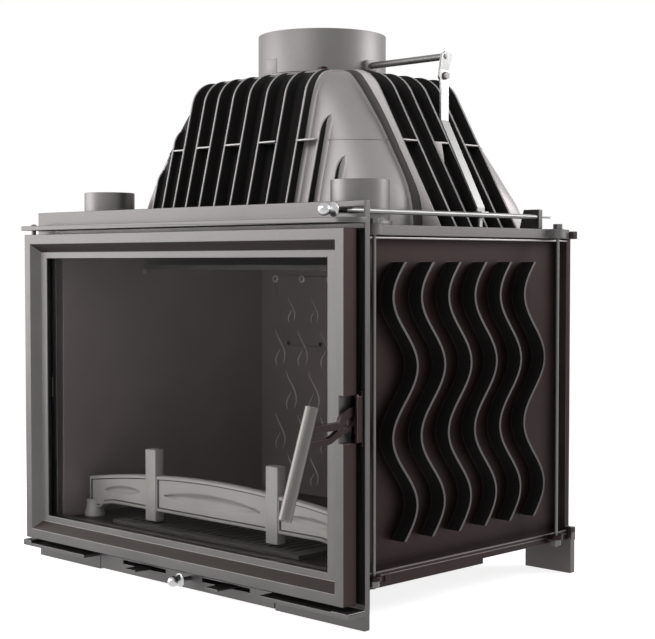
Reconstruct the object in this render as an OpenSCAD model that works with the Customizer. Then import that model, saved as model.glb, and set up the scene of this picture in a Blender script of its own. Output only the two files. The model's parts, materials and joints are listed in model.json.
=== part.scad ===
// Cast iron fireplace insert with a glazed door, a ribbed smoke hood, a flue damper and an air slide.
// Millimetres. X runs to the right, Y runs to the back, Z is up and the floor is Z = 0.
// Every module is drawn with the front face of the facade on Y = 0 and is then centred front to back.

/* [Facade] */
// Width of the cast facade plate
facade_w = 710; // [660:1:780]
// Thickness of the facade plate
facade_t = 10; // [8:0.5:14]
// Height of the facade above the top plate
crest_h = 29.3; // [26:0.1:45]
// Width of plate left at each side of the fire opening
opening_side = 47; // [44:0.5:50]
// Height of the lower edge of the fire opening
opening_z = 70; // [68:0.5:74]
// Drop from the top of the body to the upper edge of the fire opening
opening_drop = 41.7; // [39:0.1:44]
// Reach of the ledges in front of the facade
ledge_reach = 31; // [26:0.5:36]
// How far the ledges pass the sides of the facade
ledge_over = 2; // [1:0.5:4]
// Thickness of the upper ledge
upper_ledge_t = 7.2; // [5:0.1:8]
// Height of the underside of the lower ledges
lower_ledge_z = 20.7; // [18:0.1:22]
// Thickness of the lower ledges
lower_ledge_t = 5; // [4:0.1:6]
// Height of the hinge block on the left lower ledge
hinge_block_h = 8.6; // [7:0.1:10]
// Radius of the rounded right end of the upper ledge
ledge_corner_r = 24; // [10:1:28]

/* [Air inlet cover] */
// Left end of the cover, from the middle of the facade
cover_left = 195.6; // [180:0.1:215]
// Right end of the cover, from the middle of the facade
cover_right = 188.9; // [180:0.1:215]
// Height of the lower edge of the cover
cover_z = 2; // [1:0.1:4]
// Height of the upper edge of the cover
cover_top = 24; // [23:0.1:26]
// Height of the air slots
slot_h = 6; // [5:0.1:6.5]
// Width of the air slots
slot_w = 100; // [80:1:110]
// Width of the finger tabs in the slots
tab_w = 26; // [20:0.5:34]
// Thickness of the finger tabs
tab_t = 3; // [2:0.1:4]

/* [Body] */
// Step from the side of the facade to the side of the base and top plates
body_inset = 25; // [22:0.5:28]
// Depth between the facade and the back panel
body_d = 466.5; // [450:1:520]
// Height of the upper face of the base plate
base_top = 66.2; // [64:0.1:67]
// Thickness of the base plate
base_t = 8; // [7:0.1:9]
// Height of the side panels
panel_h = 437.7; // [430:0.1:480]
// Thickness of the side panels
panel_t = 5; // [4:0.1:7]
// Reach of the wavy fins out of the side panels
wave_reach = 22; // [16:0.5:24]
// Thickness of the wavy fins
wave_t = 4; // [3:0.1:7]
// Number of wavy fins on each side
wave_count = 6; // [4:1:6]
// Distance between the wavy fins
wave_pitch = 57; // [54:0.5:60]
// Swing of each wavy fin to either side
wave_amp = 24.6; // [18:0.2:26]
// Thickness of the top plate
top_t = 13.8; // [12:0.1:15]
// Thickness of the back panel
back_t = 10; // [8:0.5:12]
// Width across the rear legs
back_w = 671.8; // [665:0.1:680]
// Step from the side of each rear leg to the side of the back panel
back_inset = 10.4; // [4:0.1:16]
// Width of each rear leg
leg_w = 84.4; // [60:0.1:110]
// Height of the lower edge of the back panel between its legs
back_low = 51; // [45:0.1:56]
// Diameter of the tie rods
tie_d = 5; // [4:0.1:8]

/* [Smoke hood] */
// Width of the foot of the hood
hood_w = 540; // [520:1:560]
// Depth of the foot of the hood
hood_d = 378; // [370:1:383]
// Height of the hood above the top plate
hood_h = 230.3; // [228:0.1:250]
// Wall of the hood
hood_wall = 7; // [5:0.5:9]
// Distance from the front of the facade to the middle of the flue
flue_y = 283.9; // [280:0.1:288]
// Thickness of the hood fins
fin_t = 3.5; // [3:0.1:6]
// Distance between the front fins
front_fin_pitch = 35.2; // [34:0.1:36]
// Distance between the side fins
side_fin_pitch = 34.35; // [33:0.05:36]
// Reach of the middle front fins in front of the foot of the hood
front_fin_reach = 26.2; // [20:0.2:29]
// Reach of the side fins past the foot of the hood
side_fin_reach = 43.7; // [36:0.1:46]
// Thickness of the webs between the fins
web_t = 2.5; // [2:0.1:6]

/* [Flue collar] */
// Outer diameter of the flue collar
collar_d = 197.8; // [194:0.1:202]
// Wall of the flue collar
collar_wall = 6; // [5:0.1:7]
// Height of the flue collar
collar_h = 69.4; // [60:0.1:90]
// Length of the machined seat for the flue pipe at the top of the collar
seat_h = 39; // [36:0.5:39]
// Step from the machined seat to the cast wall below it
seat_step = 2; // [1:0.1:2.5]
// Thickness of the collar flange
flange_t = 5; // [4:0.1:7]
// Diameter of the collar bolts
bolt_d = 6; // [5:0.1:8]

/* [Air spigots] */
// Outer diameter of the air spigots
spigot_d = 79.2; // [76:0.1:82]
// Wall of the air spigots
spigot_wall = 4; // [3:0.1:5]
// Height of the air spigots
spigot_h = 60.8; // [50:0.1:70]
// Distance from the middle of the facade to each spigot
spigot_x = 272.7; // [270:0.1:275]
// Distance from the front of the facade to the spigots
spigot_y = 78.9; // [77:0.1:81]

/* [Door] */
// Step from the side of the facade to the side of the door
door_inset = 7.3; // [6:0.1:9]
// Gap between the back of the door and the facade
door_gap = 8; // [7:0.1:10]
// Height of the lower edge of the door
door_z = 34.3; // [33:0.1:36]
// Drop from the top of the body to the upper edge of the door
door_drop = 5.8; // [5:0.1:8]
// Width of the flat rim of the door
rim_w = 15; // [13:0.1:17]
// Width of the bevel between the rim and the inner band
bevel_w = 12.2; // [10:0.1:14]
// Depth of the bevel
bevel_d = 13; // [11:0.1:15]
// Width of the inner band at the sides of the glass
band_side = 14.2; // [12:0.1:16]
// Width of the inner band above and below the glass
band_end = 10; // [8:0.1:12]
// Thickness of the inner band
band_t = 4; // [3:0.1:5]
// Thickness of the glass
glass_t = 4; // [3:0.1:5]
// Overlap of the glass behind the inner band
glass_lap = 9; // [7:0.1:10]
// Thickness of the glass gasket
tape_t = 2.3; // [1.5:0.1:3]
// Width of the door gasket
rope_w = 10; // [8:0.1:11]
// Step from the edge of the fire opening to the middle of the door gasket
rope_step = 19; // [18.5:0.1:20]
// Depth of the groove that holds the door gasket
groove_d = 3; // [2:0.1:5]
// Diameter of the hinge pins
hinge_d = 7; // [5:0.1:8]
// Distance from the left side of the door to the hinge axis
hinge_inset = 6.7; // [6.5:0.1:7.5]
// Distance from the back of the door to the hinge axis
hinge_back = 10; // [8:0.1:12]
// Length of each hinge pin inside the door
hinge_grip = 20; // [14:1:30]

/* [Door handle] */
// Height of the handle pivot
handle_z = 267.7; // [250:0.1:290]
// Distance from the back of the door to the handle pivot
pivot_back = 12; // [11:0.1:13]
// Diameter of the pivot screw
pivot_d = 5; // [4:0.1:6]
// Thickness of the handle bracket
bracket_t = 7.4; // [6:0.1:8]
// Diameter of the grip
grip_d = 17; // [14:0.5:20]
// Length of the grip
grip_len = 143; // [120:1:160]
// Lean of the grip from upright, in degrees
grip_lean = 18.94; // [14:0.1:24]

/* [Damper] */
// Diameter of the damper shaft
shaft_d = 10; // [8:0.1:12]
// Height of the damper shaft above the foot of the collar
shaft_rise = 16.4; // [16:0.1:22]
// Gap between the damper disc and the bore of the collar
disc_gap = 1.9; // [1.5:0.1:4]
// Thickness of the damper disc
disc_t = 5; // [4:0.1:6]
// Distance from the middle of the flue to the crank
crank_x = 244; // [242:0.1:250]
// Distance between the two pivots of the crank
crank_r = 28.4; // [24:0.1:32]
// Lean of the crank from upright at rest, in degrees
crank_lean = 7.9; // [4:0.1:12]
// Width of the link
strip_w = 16; // [13:0.5:18]
// Thickness of the link
link_t = 3; // [2:0.1:4]

/* [Damper pull rod] */
// Distance from the middle of the facade to the pull rod
rod_x = 325; // [324:0.1:328]
// Height of the pull rod above the top plate
rod_rise = 17.3; // [17.3:0.1:18.5]
// Diameter of the pull rod
rod_d = 7; // [6:0.1:9]
// Diameter of the thin end of the pull rod
tail_d = 3; // [2.5:0.1:5]
// Distance from the front of the facade to the rear rod bracket
bracket_y = 400; // [390:0.5:420]
// Diameter of the ball of the upper knob
ball_d = 16.6; // [14:0.1:17]
// Diameter of the bell of the upper knob
bell_d = 18.2; // [16:0.1:18.2]
// Distance from the facade to the middle of the upper knob's ball
ball_y = 42.7; // [40:0.1:50]

/* [Air slide] */
// Distance from the middle of the facade to the air slide rod
air_x = 14; // [8:0.1:20]
// Height of the air slide rod
air_z = 17.5; // [16:0.1:18]
// Diameter of the air slide rod
air_rod_d = 6; // [5:0.1:7]
// Diameter of the ball of the lower knob
air_ball_d = 15.4; // [13:0.1:17]
// Diameter of the bell of the lower knob
air_bell_d = 19; // [17:0.1:21]
// Distance from the facade to the middle of the lower knob's ball
air_ball_y = 31.5; // [30:0.1:36]
// Width of the air flap
flap_w = 70; // [64:0.5:80]
// Height of the air flap
flap_h = 34; // [30:0.5:36]
// Thickness of the air flap
flap_t = 3.2; // [2:0.1:4]
// Travel of the air slide
air_travel = 28; // [20:0.5:28]

/* [Firebox] */
// Width of the ash box
ash_w = 376; // [340:1:390]
// Distance from the front of the facade to the ash box
ash_y = 45; // [44:0.5:50]
// Depth of the ash box
ash_d = 285; // [260:1:300]
// Height of the bottom of the ash box
ash_z = 8; // [6:0.5:12]
// Sheet thickness of the ash box
ash_wall = 3; // [2:0.1:4]
// Width of the grate
grate_w = 410; // [404:1:430]
// Depth of the grate
grate_d = 300; // [290:1:320]
// Thickness of the grate
grate_t = 8; // [6:0.5:10]
// Width of each slot in the grate
grate_slot = 8; // [6:0.5:10]
// Distance from the front of the facade to the face of the fire back
fire_back_y = 437; // [430:0.5:445]
// Thickness of the fire back
fire_back_t = 8; // [6:0.5:10]
// Height of the upper edge of the fire back
fire_back_top = 457; // [440:0.5:460]
// Thickness of the baffle plate
baffle_t = 8; // [6:0.5:10]
// Distance from the front of the facade to the log guard
guard_y = 49; // [46:0.5:60]
// Thickness of the log guard
guard_t = 12; // [9:0.5:14]
// Height of the middle of the log guard's upper edge
guard_top = 149; // [140:0.5:160]

/* [Hidden] */

$fn = 64;
// Running clearance of a pin or shaft in its bore, on the radius
run = 0.05;
// Small gap between faces of parts that move past each other
slip = 0.3;
// Extra length of a cutting tool past the face that it leaves
past = 1;

// Main planes of the body
half_w = facade_w / 2;
body_w = facade_w - 2 * body_inset;
panel_x = body_w / 2 - wave_reach;
inner_x = panel_x - panel_t;
back_y = facade_t + body_d;
top_low = base_top + panel_h;
top_z = top_low + top_t;
facade_h = top_z + crest_h;
opening_x = half_w - opening_side;
opening_top = top_z - opening_drop;
ledge_gap = 0.7;
upper_ledge_z = top_z + ledge_gap;
upper_ledge_top = upper_ledge_z + upper_ledge_t;
ledge_x = half_w + ledge_over;

// Door planes
door_x = half_w - door_inset;
door_top = top_z - door_drop;
door_back = -door_gap;
door_front = door_back - glass_t - tape_t - band_t - bevel_d;
band_front = door_front + bevel_d;
band_back = band_front + band_t;
glass_front = band_back + tape_t;
side_border = rim_w + bevel_w + band_side;
end_border = rim_w + bevel_w + band_end;
sight_x = door_x - side_border;
sight_low = door_z + end_border;
sight_top = door_top - end_border;
pocket_gap = 1;
clip_hole = pocket_gap + 2.7;
hinge_x = -(door_x - hinge_inset);
hinge_y = door_back - hinge_back;
block_top = lower_ledge_z + hinge_block_h;

// Handle and latch planes, the bracket is one flat plate inside the notch of the door's edge
bracket_x = door_x - bracket_t;
notch_x = bracket_x - 0.5;
notch_low = handle_z - 26.7;
notch_top = handle_z + 33.3;
pivot_y = door_back - pivot_back;
lip_z = handle_z + 14.3;
window_low = handle_z - 15.7;
keeper_t = 3;
hook_t = bracket_t - 1;
hook_x = bracket_x + 0.5;
window_x0 = hook_x - 1.2;
window_x1 = hook_x + hook_t + 1.4;
keeper_screw_x = hook_x + hook_t / 2;
keeper_screw_z = [window_low - 9, lip_z + 17];
flange_x = door_x + 2.3;
recess_d = 1.8;
grip_axis_y = pivot_y - 73;
grip_axis_z = handle_z - 4.3;
grip_below = 113.6;

// Grip ends in the plane of the bracket
grip_end_y = grip_axis_y - grip_below * sin(grip_lean);
grip_end_z = grip_axis_z - grip_below * cos(grip_lean);
grip_bevel = 1;

// The whole object is centred between the grip and the back panel
front_y = grip_end_y + grip_bevel * sin(grip_lean) - grip_d / 2 * cos(grip_lean);
rear_y = back_y + back_t;
shift_y = -(front_y + rear_y) / 2;

// Smoke hood: height, inset at the sides, at the front and at the rear, and corner radius
hood_profile = [[0, 0, 0, 0, 66], [27.3, 2, 5, 4, 66], [123.3, 47.3, 27.3, 30, 60],
                [190, 91, 43.5, 46, 56], [hood_h - 18.3, 108, 52, 54, 54],
                [hood_h - 6.3, 119, 61, 62, 52], [hood_h, 134, 74, 76, 48]];
// Bow of the hood's front, as a share of the squared distance from the middle
hood_bow = 0.0004;
hood_front = flue_y - 191.9;
hood_top = top_z + hood_h;
hood_roof = 10;
smoke_x = 215;
smoke_front = hood_front + 38;
smoke_rear = hood_front + hood_d - 30;
front_fins = 12;
side_fins = 6;
front_fin_slope = 0.241;
side_fin_slope = 0.57;
front_fin_bow = 0.000722;
front_fin_round = 47.5;
side_fin_round = 60;
outer_fin_drop = [127, 68];
outer_fin_round = 37;
seam_h = 123.6;
gusset_w = 17;
gusset_h = 29;

// Flue collar, damper and linkage
collar_r = collar_d / 2;
flue_r = collar_r - collar_wall;
collar_top = hood_top + collar_h;
ear_circle = collar_r + 11.1;
bolt_angles = [135, 315];
shaft_z = hood_top + shaft_rise;
flat_rise = shaft_d / 2 - 1.5;
disc_r = flue_r - disc_gap;
crank_t = 4;
crank_pin_y = flue_y - crank_r * sin(crank_lean);
crank_pin_z = shaft_z - crank_r * cos(crank_lean);
crank_pin_d = 5;
link_x = crank_x + crank_t + slip;
rod_z = top_z + rod_rise;
// Corners of the crank's upper end, from the middle of the damper shaft
crank_corners = [[17.8, 0.5], [13.2, 7], [3.4, 8.4], [-6, 3]];
link_foot_x = rod_x - 10;
// The tongue of the link slides up in the eye of the pull rod as the crank turns
tongue_w = 6;
eye_low = rod_z - 3;
eye_top = rod_z + 5;
eye_w = 16;
eye_play = 1.9;
shoulder_y = bracket_y - 1;
tail_end_y = bracket_y + 34;

// Tie rods stand outside the body at the four corners
tie_x = body_w / 2 + 10;
tie_y = [facade_t + 23.4, back_y - 43.6];
ear_r = 10;
base_low = base_top - base_t;

// Ash box and air slide
ash_top = base_low;
flap_y = ash_y - slip - flap_t;
flap_z = air_z - 7;
cover_lip_t = 3;
cover_gap = 1.5;
floor_t = 3;
port_edge = 5;

// Grate, log guard, baffle and their places
grate_front = facade_t + 20;
grate_sink = 2.2;
guard_post_x = 133.7;
guard_half = 290;
guard_low = base_top + 25.8;
guard_foot_x = guard_half - 6;
baffle_front = facade_t + 160;
spacer_x = 240;
spacer_d = 20;
air_hole_drop = 129;
air_hole_pitch = 78;
air_hole_d = 7;
boss_pitch = 66.5;

// A plate drawn in the Y and Z directions, starting at x and t thick
module plate_yz(x, t) {
    translate([x, 0, 0]) rotate([90, 0, 90]) linear_extrude(t) children();
}

// A plate drawn in the X and Z directions, starting at y and t thick
module plate_xz(y, t) {
    translate([0, y + t, 0]) rotate([90, 0, 0]) linear_extrude(t) children();
}

// A plate drawn in the X and Y directions, starting at z and t thick
module plate_xy(z, t) {
    translate([0, 0, z]) linear_extrude(t) children();
}

// A block between two corners
module block(a, b) {
    translate(a) cube(b - a);
}

// Round bars along X, Y and Z
module bar_x(x0, x1, y, z, d) {
    translate([x0, y, z]) rotate([0, 90, 0]) cylinder(h = x1 - x0, d = d);
}

module bar_y(x, y0, y1, z, d) {
    translate([x, y0, z]) rotate([-90, 0, 0]) cylinder(h = y1 - y0, d = d);
}

module bar_z(x, y, z0, z1, d) {
    translate([x, y, z0]) cylinder(h = z1 - z0, d = d);
}

// A rounded rectangle around the middle, w by d with corner radius r
module rounded(w, d, r) {
    square([w - 2 * r, d], center = true);
    square([w, d - 2 * r], center = true);
    for (sx = [-1, 1], sy = [-1, 1])
        translate([sx * (w / 2 - r), sy * (d / 2 - r)]) circle(r);
}

// A domed head that stands on Z = 0
module dome(d, h) {
    ball_r = (d * d / 4 + h * h) / (2 * h);
    intersection() {
        translate([0, 0, h - ball_r]) sphere(ball_r);
        cylinder(h = h + past, d = d + past);
    }
}

// A hexagon head or nut that stands on Z = 0, measured across its flats
module hexagon(flats, h) {
    cylinder(h = h, d = flats / cos(30), $fn = 6);
}

// A knob along Z: a ball on a flared bell, with a blind bore for its rod
module knob(ball, ball_at, bell, bell_at, rod) {
    neck = ball * 0.32;
    flare = [for (a = [0:15:90]) [neck + (bell / 2 - neck) * (1 - sin(a)),
                                  bell_at + 2 + (ball_at - bell_at - 4) * (1 - cos(a))]];
    difference() {
        union() {
            translate([0, 0, ball_at]) sphere(d = ball);
            rotate_extrude()
                polygon(concat([[0, bell_at], [bell / 2, bell_at]], flare, [[0, ball_at]]));
        }
        translate([0, 0, bell_at - past])
            cylinder(h = ball_at - bell_at - 2 + past, d = rod + 2 * run);
    }
}

// Outline of the whole facade plate seen from the front, with its openings cut
module facade_outline() {
    difference() {
        translate([-half_w, 0]) square([facade_w, facade_h]);
        translate([-opening_x, opening_z]) square([2 * opening_x, opening_top - opening_z]);
        translate([-cover_left - cover_gap, -past])
            square([cover_left + cover_right + 2 * cover_gap, cover_top + slip + past]);
        translate([rod_x - 15, rod_z - rod_d / 2 - 0.8]) square([43, rod_d + 1.6]);
        translate([window_x0, window_low - 4]) square([window_x1 - window_x0, lip_z - window_low + 8]);
    }
}

// Outline of the upper ledge seen from above, its right end curves back to the facade
module upper_ledge_outline() {
    difference() {
        translate([-ledge_x, -ledge_reach]) square([2 * ledge_x, ledge_reach]);
        difference() {
            translate([ledge_x - ledge_corner_r, -ledge_reach - past])
                square([ledge_corner_r + past, ledge_corner_r + past]);
            translate([ledge_x - ledge_corner_r, ledge_corner_r - ledge_reach])
                circle(ledge_corner_r);
        }
    }
}

module facade_frame() {
    color("dimgray") difference() {
        union() {
            plate_xz(0, facade_t) facade_outline();
            plate_xy(upper_ledge_z, upper_ledge_t) upper_ledge_outline();
            block([-ledge_x, -ledge_reach, lower_ledge_z],
                  [-cover_left - 1.4, 0, lower_ledge_z + lower_ledge_t]);
            block([-ledge_x, -ledge_reach, lower_ledge_z], [-ledge_x + 21, 0, block_top]);
            block([cover_right + 2.1, -ledge_reach, lower_ledge_z],
                  [ledge_x, 0, lower_ledge_z + lower_ledge_t]);
            block([half_w - 30, -ledge_reach, lower_ledge_z - 1.1], [half_w, 0, lower_ledge_z + 6.5]);
        }
        bar_z(hinge_x, hinge_y, upper_ledge_z - past, upper_ledge_top + past, hinge_d + 2 * run);
        bar_z(hinge_x, hinge_y, lower_ledge_z - past, block_top + past, hinge_d + 2 * run);
        for (z = keeper_screw_z)
            bar_y(keeper_screw_x, -past, facade_t + past, z, 4 + 2 * run);
    }
}

module air_inlet_cover() {
    slot_z = cover_top - 2 - slot_h;
    slots = [-140.5, 40];
    x0 = -cover_left + 6;
    x1 = cover_right - 6;
    rear = ash_y - 1;
    color("gray") {
        difference() {
            union() {
                block([-cover_left, 0, cover_z], [cover_right, facade_t, cover_top]);
                block([x0, facade_t, cover_top - 4], [x1, facade_t + cover_lip_t, cover_top + 10]);
                block([x0, facade_t, cover_z], [x1, rear, cover_z + floor_t]);
                block([x0, rear - floor_t, cover_z], [x1, rear, flap_z - 0.7]);
            }
            for (x = slots)
                block([x, -past, slot_z], [x + slot_w, facade_t + cover_lip_t + past, slot_z + slot_h]);
            bar_y(air_x, -past, facade_t + cover_lip_t + past, air_z, air_rod_d + 2 * run);
        }
        for (x = slots) {
            left = x + slot_w / 2 + 4 - tab_w / 2;
            plate_xy(slot_z - 2.4 + tab_t, tab_t)
                translate([left, -ledge_reach + 1]) square([tab_w, ledge_reach + facade_t - 1]);
            block([left, facade_t - 3, slot_z - 1], [left + tab_w, facade_t, slot_z + slot_h]);
        }
    }
}

// One ear with a bore for a tie rod, joined to the side of a plate
module tie_ear(side, y, z, t) {
    difference() {
        union() {
            bar_z(side * tie_x, y, z, z + t, 2 * ear_r);
            block([min(side * tie_x, side * (body_w / 2 - 2)), y - ear_r, z],
                  [max(side * tie_x, side * (body_w / 2 - 2)), y + ear_r, z + t]);
        }
        bar_z(side * tie_x, y, z - past, z + t + past, tie_d + 2 * run);
    }
}

module base_plate() {
    skirt_t = 8;
    step_y = facade_t + 262.8;
    color("dimgray") difference() {
        union() {
            block([-body_w / 2, facade_t, base_low], [body_w / 2, back_y, base_top]);
            for (side = [-1, 1]) {
                skirt_x = side > 0 ? body_w / 2 - skirt_t : -body_w / 2;
                block([skirt_x, facade_t, base_low - 14.5], [skirt_x + skirt_t, step_y, base_low]);
                block([skirt_x, step_y, base_low - 7.2], [skirt_x + skirt_t, back_y, base_low]);
                block([side * (body_w / 2 + 1) - 1, facade_t + 55, base_low - 9.2],
                      [side * (body_w / 2 + 1) + 1, facade_t + 64, base_low + 1.8]);
                for (y = tie_y)
                    tie_ear(side, y, base_low, base_t - 1.5);
            }
        }
        block([-grate_w / 2 - 0.5, grate_front - 0.5, base_top - grate_sink],
              [grate_w / 2 + 0.5, grate_front + grate_d + 0.5, base_top + past]);
        block([-grate_w / 2 + 10, grate_front + 15, base_low - past],
              [grate_w / 2 - 10, grate_front + grate_d - 10, base_top]);
    }
}

module ash_box() {
    half = ash_w / 2;
    color("gray") difference() {
        union() {
            block([-half, ash_y, ash_z], [half, ash_y + ash_d, ash_top]);
            block([-half - 12, ash_y, ash_top - ash_wall], [half + 12, ash_y + ash_d, ash_top]);
        }
        block([-half + ash_wall, ash_y + ash_wall, ash_z + ash_wall],
              [half - ash_wall, ash_y + ash_d - ash_wall, ash_top + past]);
        block([air_x - flap_w / 2 + port_edge, ash_y - past, flap_z + port_edge - 1],
              [air_x + flap_w / 2 - port_edge, ash_y + ash_wall + past, flap_z + flap_h - port_edge]);
    }
}

module ash_pan() {
    play = 5;
    wall = 1.5;
    low = ash_z + ash_wall;
    half = ash_w / 2 - ash_wall - play;
    y0 = ash_y + ash_wall + play;
    y1 = ash_y + ash_d - ash_wall - play;
    color("silver") difference() {
        block([-half, y0, low], [half, y1, ash_top - 8]);
        block([-half + wall, y0 + wall, low + wall], [half - wall, y1 - wall, ash_top]);
    }
}

module grate() {
    pitch = 2 * grate_slot;
    count = floor((grate_w / 2 - 14) / pitch);
    y0 = grate_front;
    middle = y0 + grate_d / 2;
    low = base_top - grate_sink;
    color("dimgray") difference() {
        block([-grate_w / 2, y0, low], [grate_w / 2, y0 + grate_d, low + grate_t]);
        for (i = [-count:count])
            for (y = [[y0 + 18, middle - 8], [middle + 8, y0 + grate_d - 14]])
                block([i * pitch - grate_slot / 2, y[0], low - past],
                      [i * pitch + grate_slot / 2, y[1], low + grate_t + past]);
    }
}

// Upper edge of the log guard: a low arch between the posts, and side bays that fall away
function guard_edge(x) = abs(x) < guard_post_x
    ? guard_top - 5 * pow(x / guard_post_x, 2)
    : guard_top - 5 - 16 * pow((abs(x) - guard_post_x) / (guard_half - guard_post_x), 1.4);

module guard_bar() {
    steps = [-14:14];
    drop = 12;
    polygon(concat(
        [for (i = steps) [i * guard_half / 14, guard_edge(i * guard_half / 14)]],
        [[guard_half, guard_low - drop], [guard_half - 26, guard_low - drop],
         [guard_half - 36, guard_low - 4], [guard_half - 62, guard_low]],
        [[-guard_half + 62, guard_low], [-guard_half + 36, guard_low - 4],
         [-guard_half + 26, guard_low - drop], [-guard_half, guard_low - drop]]));
}

// A leaf-shaped hollow between two points of a bay
module guard_hollow(x0, x1, z, h) {
    half = (x1 - x0) / 2;
    r = (half * half + h * h / 4) / h;
    translate([(x0 + x1) / 2, z]) intersection() {
        translate([0, h / 2 - r]) circle(r, $fn = 180);
        translate([0, r - h / 2]) circle(r, $fn = 180);
    }
}

module log_guard() {
    post_w = 24;
    post_d = guard_t + 5;
    post_top = guard_top + 36;
    color("gray") {
        difference() {
            plate_xz(guard_y, guard_t) guard_bar();
            plate_xz(guard_y - past, past + 3) {
                guard_hollow(-guard_post_x + 20, guard_post_x - 20, (guard_low + guard_top) / 2 - 2, 36);
                for (side = [-1, 1])
                    guard_hollow(side * 211 - 54, side * 211 + 54, (guard_low + guard_top) / 2 - 5, 28);
            }
        }
        for (side = [-1, 1]) {
            plate_xz(guard_y - 2, post_d)
                translate([side * guard_post_x, 0])
                    polygon([[-post_w / 2, guard_low - 16], [post_w / 2, guard_low - 16],
                             [post_w / 2, post_top - 2.5], [side * 4, post_top],
                             [-post_w / 2, post_top - 2.5]]);
            translate([side * guard_foot_x, guard_y + guard_t / 2, base_top])
                cylinder(h = guard_low - base_top, d1 = 32, d2 = 26);
        }
    }
}

// A wavy fin seen from the side, its middle line swings about the height axis
module wave_fin(y) {
    steps = 48;
    low = base_top + 30.8;
    high = top_low - 34.7;
    line = [for (i = [0:steps]) [y - wave_amp * sin(720 * (1 - i / steps)), low + (high - low) * i / steps]];
    lean = [for (i = [0:steps]) atan(wave_amp * 4 * PI / (high - low) * cos(720 * (1 - i / steps)))];
    edge = [for (i = [0:steps]) wave_t / 2 / cos(lean[i])];
    polygon(concat([for (i = [0:steps]) line[i] + [edge[i], 0]],
                   [for (i = [steps:-1:0]) line[i] - [edge[i], 0]]));
}

module side_panel(side) {
    rail_t = 8;
    color("dimgray") {
        block([side > 0 ? inner_x : -panel_x, facade_t, base_top],
              [side > 0 ? panel_x : -inner_x, back_y, top_low]);
        plate_yz(side > 0 ? panel_x : -panel_x - wave_reach, wave_reach)
            for (i = [0:wave_count - 1])
                wave_fin(facade_t + 96.5 + i * wave_pitch);
        block([side > 0 ? inner_x - rail_t : -inner_x, baffle_front, fire_back_top - 8],
              [side > 0 ? inner_x : -inner_x + rail_t, fire_back_y - 10, fire_back_top]);
    }
}

module side_panel_left() { side_panel(-1); }

module side_panel_right() { side_panel(1); }

module back_panel() {
    leg_x = back_w / 2;
    half = leg_x - back_inset;
    rear = back_y + back_t;
    high = top_z - 2.7;
    color("dimgray") {
        block([-half, back_y, back_low], [half, rear, high]);
        for (side = [-1, 1]) {
            block([side > 0 ? leg_x - leg_w : -leg_x, back_y, 0],
                  [side > 0 ? leg_x : leg_w - leg_x, rear, back_low]);
            block([side * half - 12, back_y, high - 11.5], [side * half + 12, rear, high]);
            block([side * half - 12, back_y, back_low - 1], [side * half + 12, rear, back_low + 19]);
        }
    }
}

module fire_back() {
    half = inner_x - 0.5;
    color("dimgray") difference() {
        union() {
            block([-half, fire_back_y, base_top],
                  [half, fire_back_y + fire_back_t, fire_back_top]);
            for (i = [-4:4])
                translate([i * boss_pitch, fire_back_y, fire_back_top - 17]) rotate([90, 0, 0]) dome(10, 3);
            for (side = [-1, 1], z = [base_top + 44, fire_back_top - 40])
                bar_y(side * spacer_x, fire_back_y + fire_back_t, back_y, z, spacer_d);
        }
        for (i = [-3:3])
            bar_y(i * air_hole_pitch, fire_back_y - past, fire_back_y + fire_back_t + past,
                  fire_back_top - air_hole_drop, air_hole_d);
    }
}

module baffle_plate() {
    half = inner_x - 4;
    color("slategray")
        block([-half, baffle_front, fire_back_top], [half, back_y - 6, fire_back_top + baffle_t]);
}

module air_wash_duct() {
    wall = 3;
    half = inner_x - 0.5;
    low = opening_top + 4;
    rear = facade_t + 110;
    color("slategray") {
        block([-half, facade_t + 12, low], [half, rear, low + wall]);
        block([-half, rear - wall, low + wall], [half, rear, top_low]);
        block([-half, facade_t + 12, low + wall], [half, facade_t + 12 + wall, low + wall + 8]);
    }
}

module top_plate() {
    color("dimgray") difference() {
        union() {
            block([-body_w / 2, facade_t, top_low], [body_w / 2, back_y, top_z]);
            for (side = [-1, 1], y = tie_y)
                tie_ear(side, y, top_low, top_t);
        }
        block([-smoke_x, smoke_front, top_low - past], [smoke_x, smoke_rear, top_z + past]);
        for (side = [-1, 1])
            bar_z(side * spigot_x, spigot_y, top_low - past, top_z + past, spigot_d - 2 * spigot_wall);
    }
}

// One half of the hood's footprint: a bowed front, then the front and the rear corner of radius r
function hood_half(w, d, r, lean) = concat(
    [for (i = [0:8]) let (x = (w / 2 - r + r * sin(lean)) * i / 8) [x, hood_bow * x * x]],
    [for (i = [1:8]) let (a = (90 - lean) * (i / 8 - 1))
        [w / 2 - r + r * cos(a), hood_bow * pow(w / 2 - r + r * sin(lean), 2) + r * (cos(lean) + sin(a))]],
    [for (i = [0:8]) [w / 2 - r + r * cos(90 * i / 8), d - r + r * sin(90 * i / 8)]]);

// Footprint of the hood at one level of its profile, grown or shrunk by a margin
module hood_outline(level, margin) {
    w = hood_w - 2 * level[1] + 2 * margin;
    d = hood_d - level[2] - level[3] + 2 * margin;
    r = level[4] + margin;
    right = hood_half(w, d, r, atan(2 * hood_bow * (w / 2 - r)));
    last = len(right) - 1;
    translate([0, hood_front + level[2] - margin])
        polygon(concat(right, [for (i = [last:-1:1]) [-right[i][0], right[i][1]]]));
}

module hood_level(level, margin) {
    plate_xy(top_z + level[0], 0.01) hood_outline(level, margin);
}

module hood_shell() {
    hull() {
        for (level = hood_profile)
            translate([0, 0, level[0] > 0 ? -0.01 : 0]) hood_level(level, 0);
    }
}

module hood_cavity() {
    hull() {
        for (level = hood_profile)
            translate([0, 0, level[0] > 0 ? -hood_roof : -past]) hood_level(level, -hood_wall);
    }
}

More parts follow.
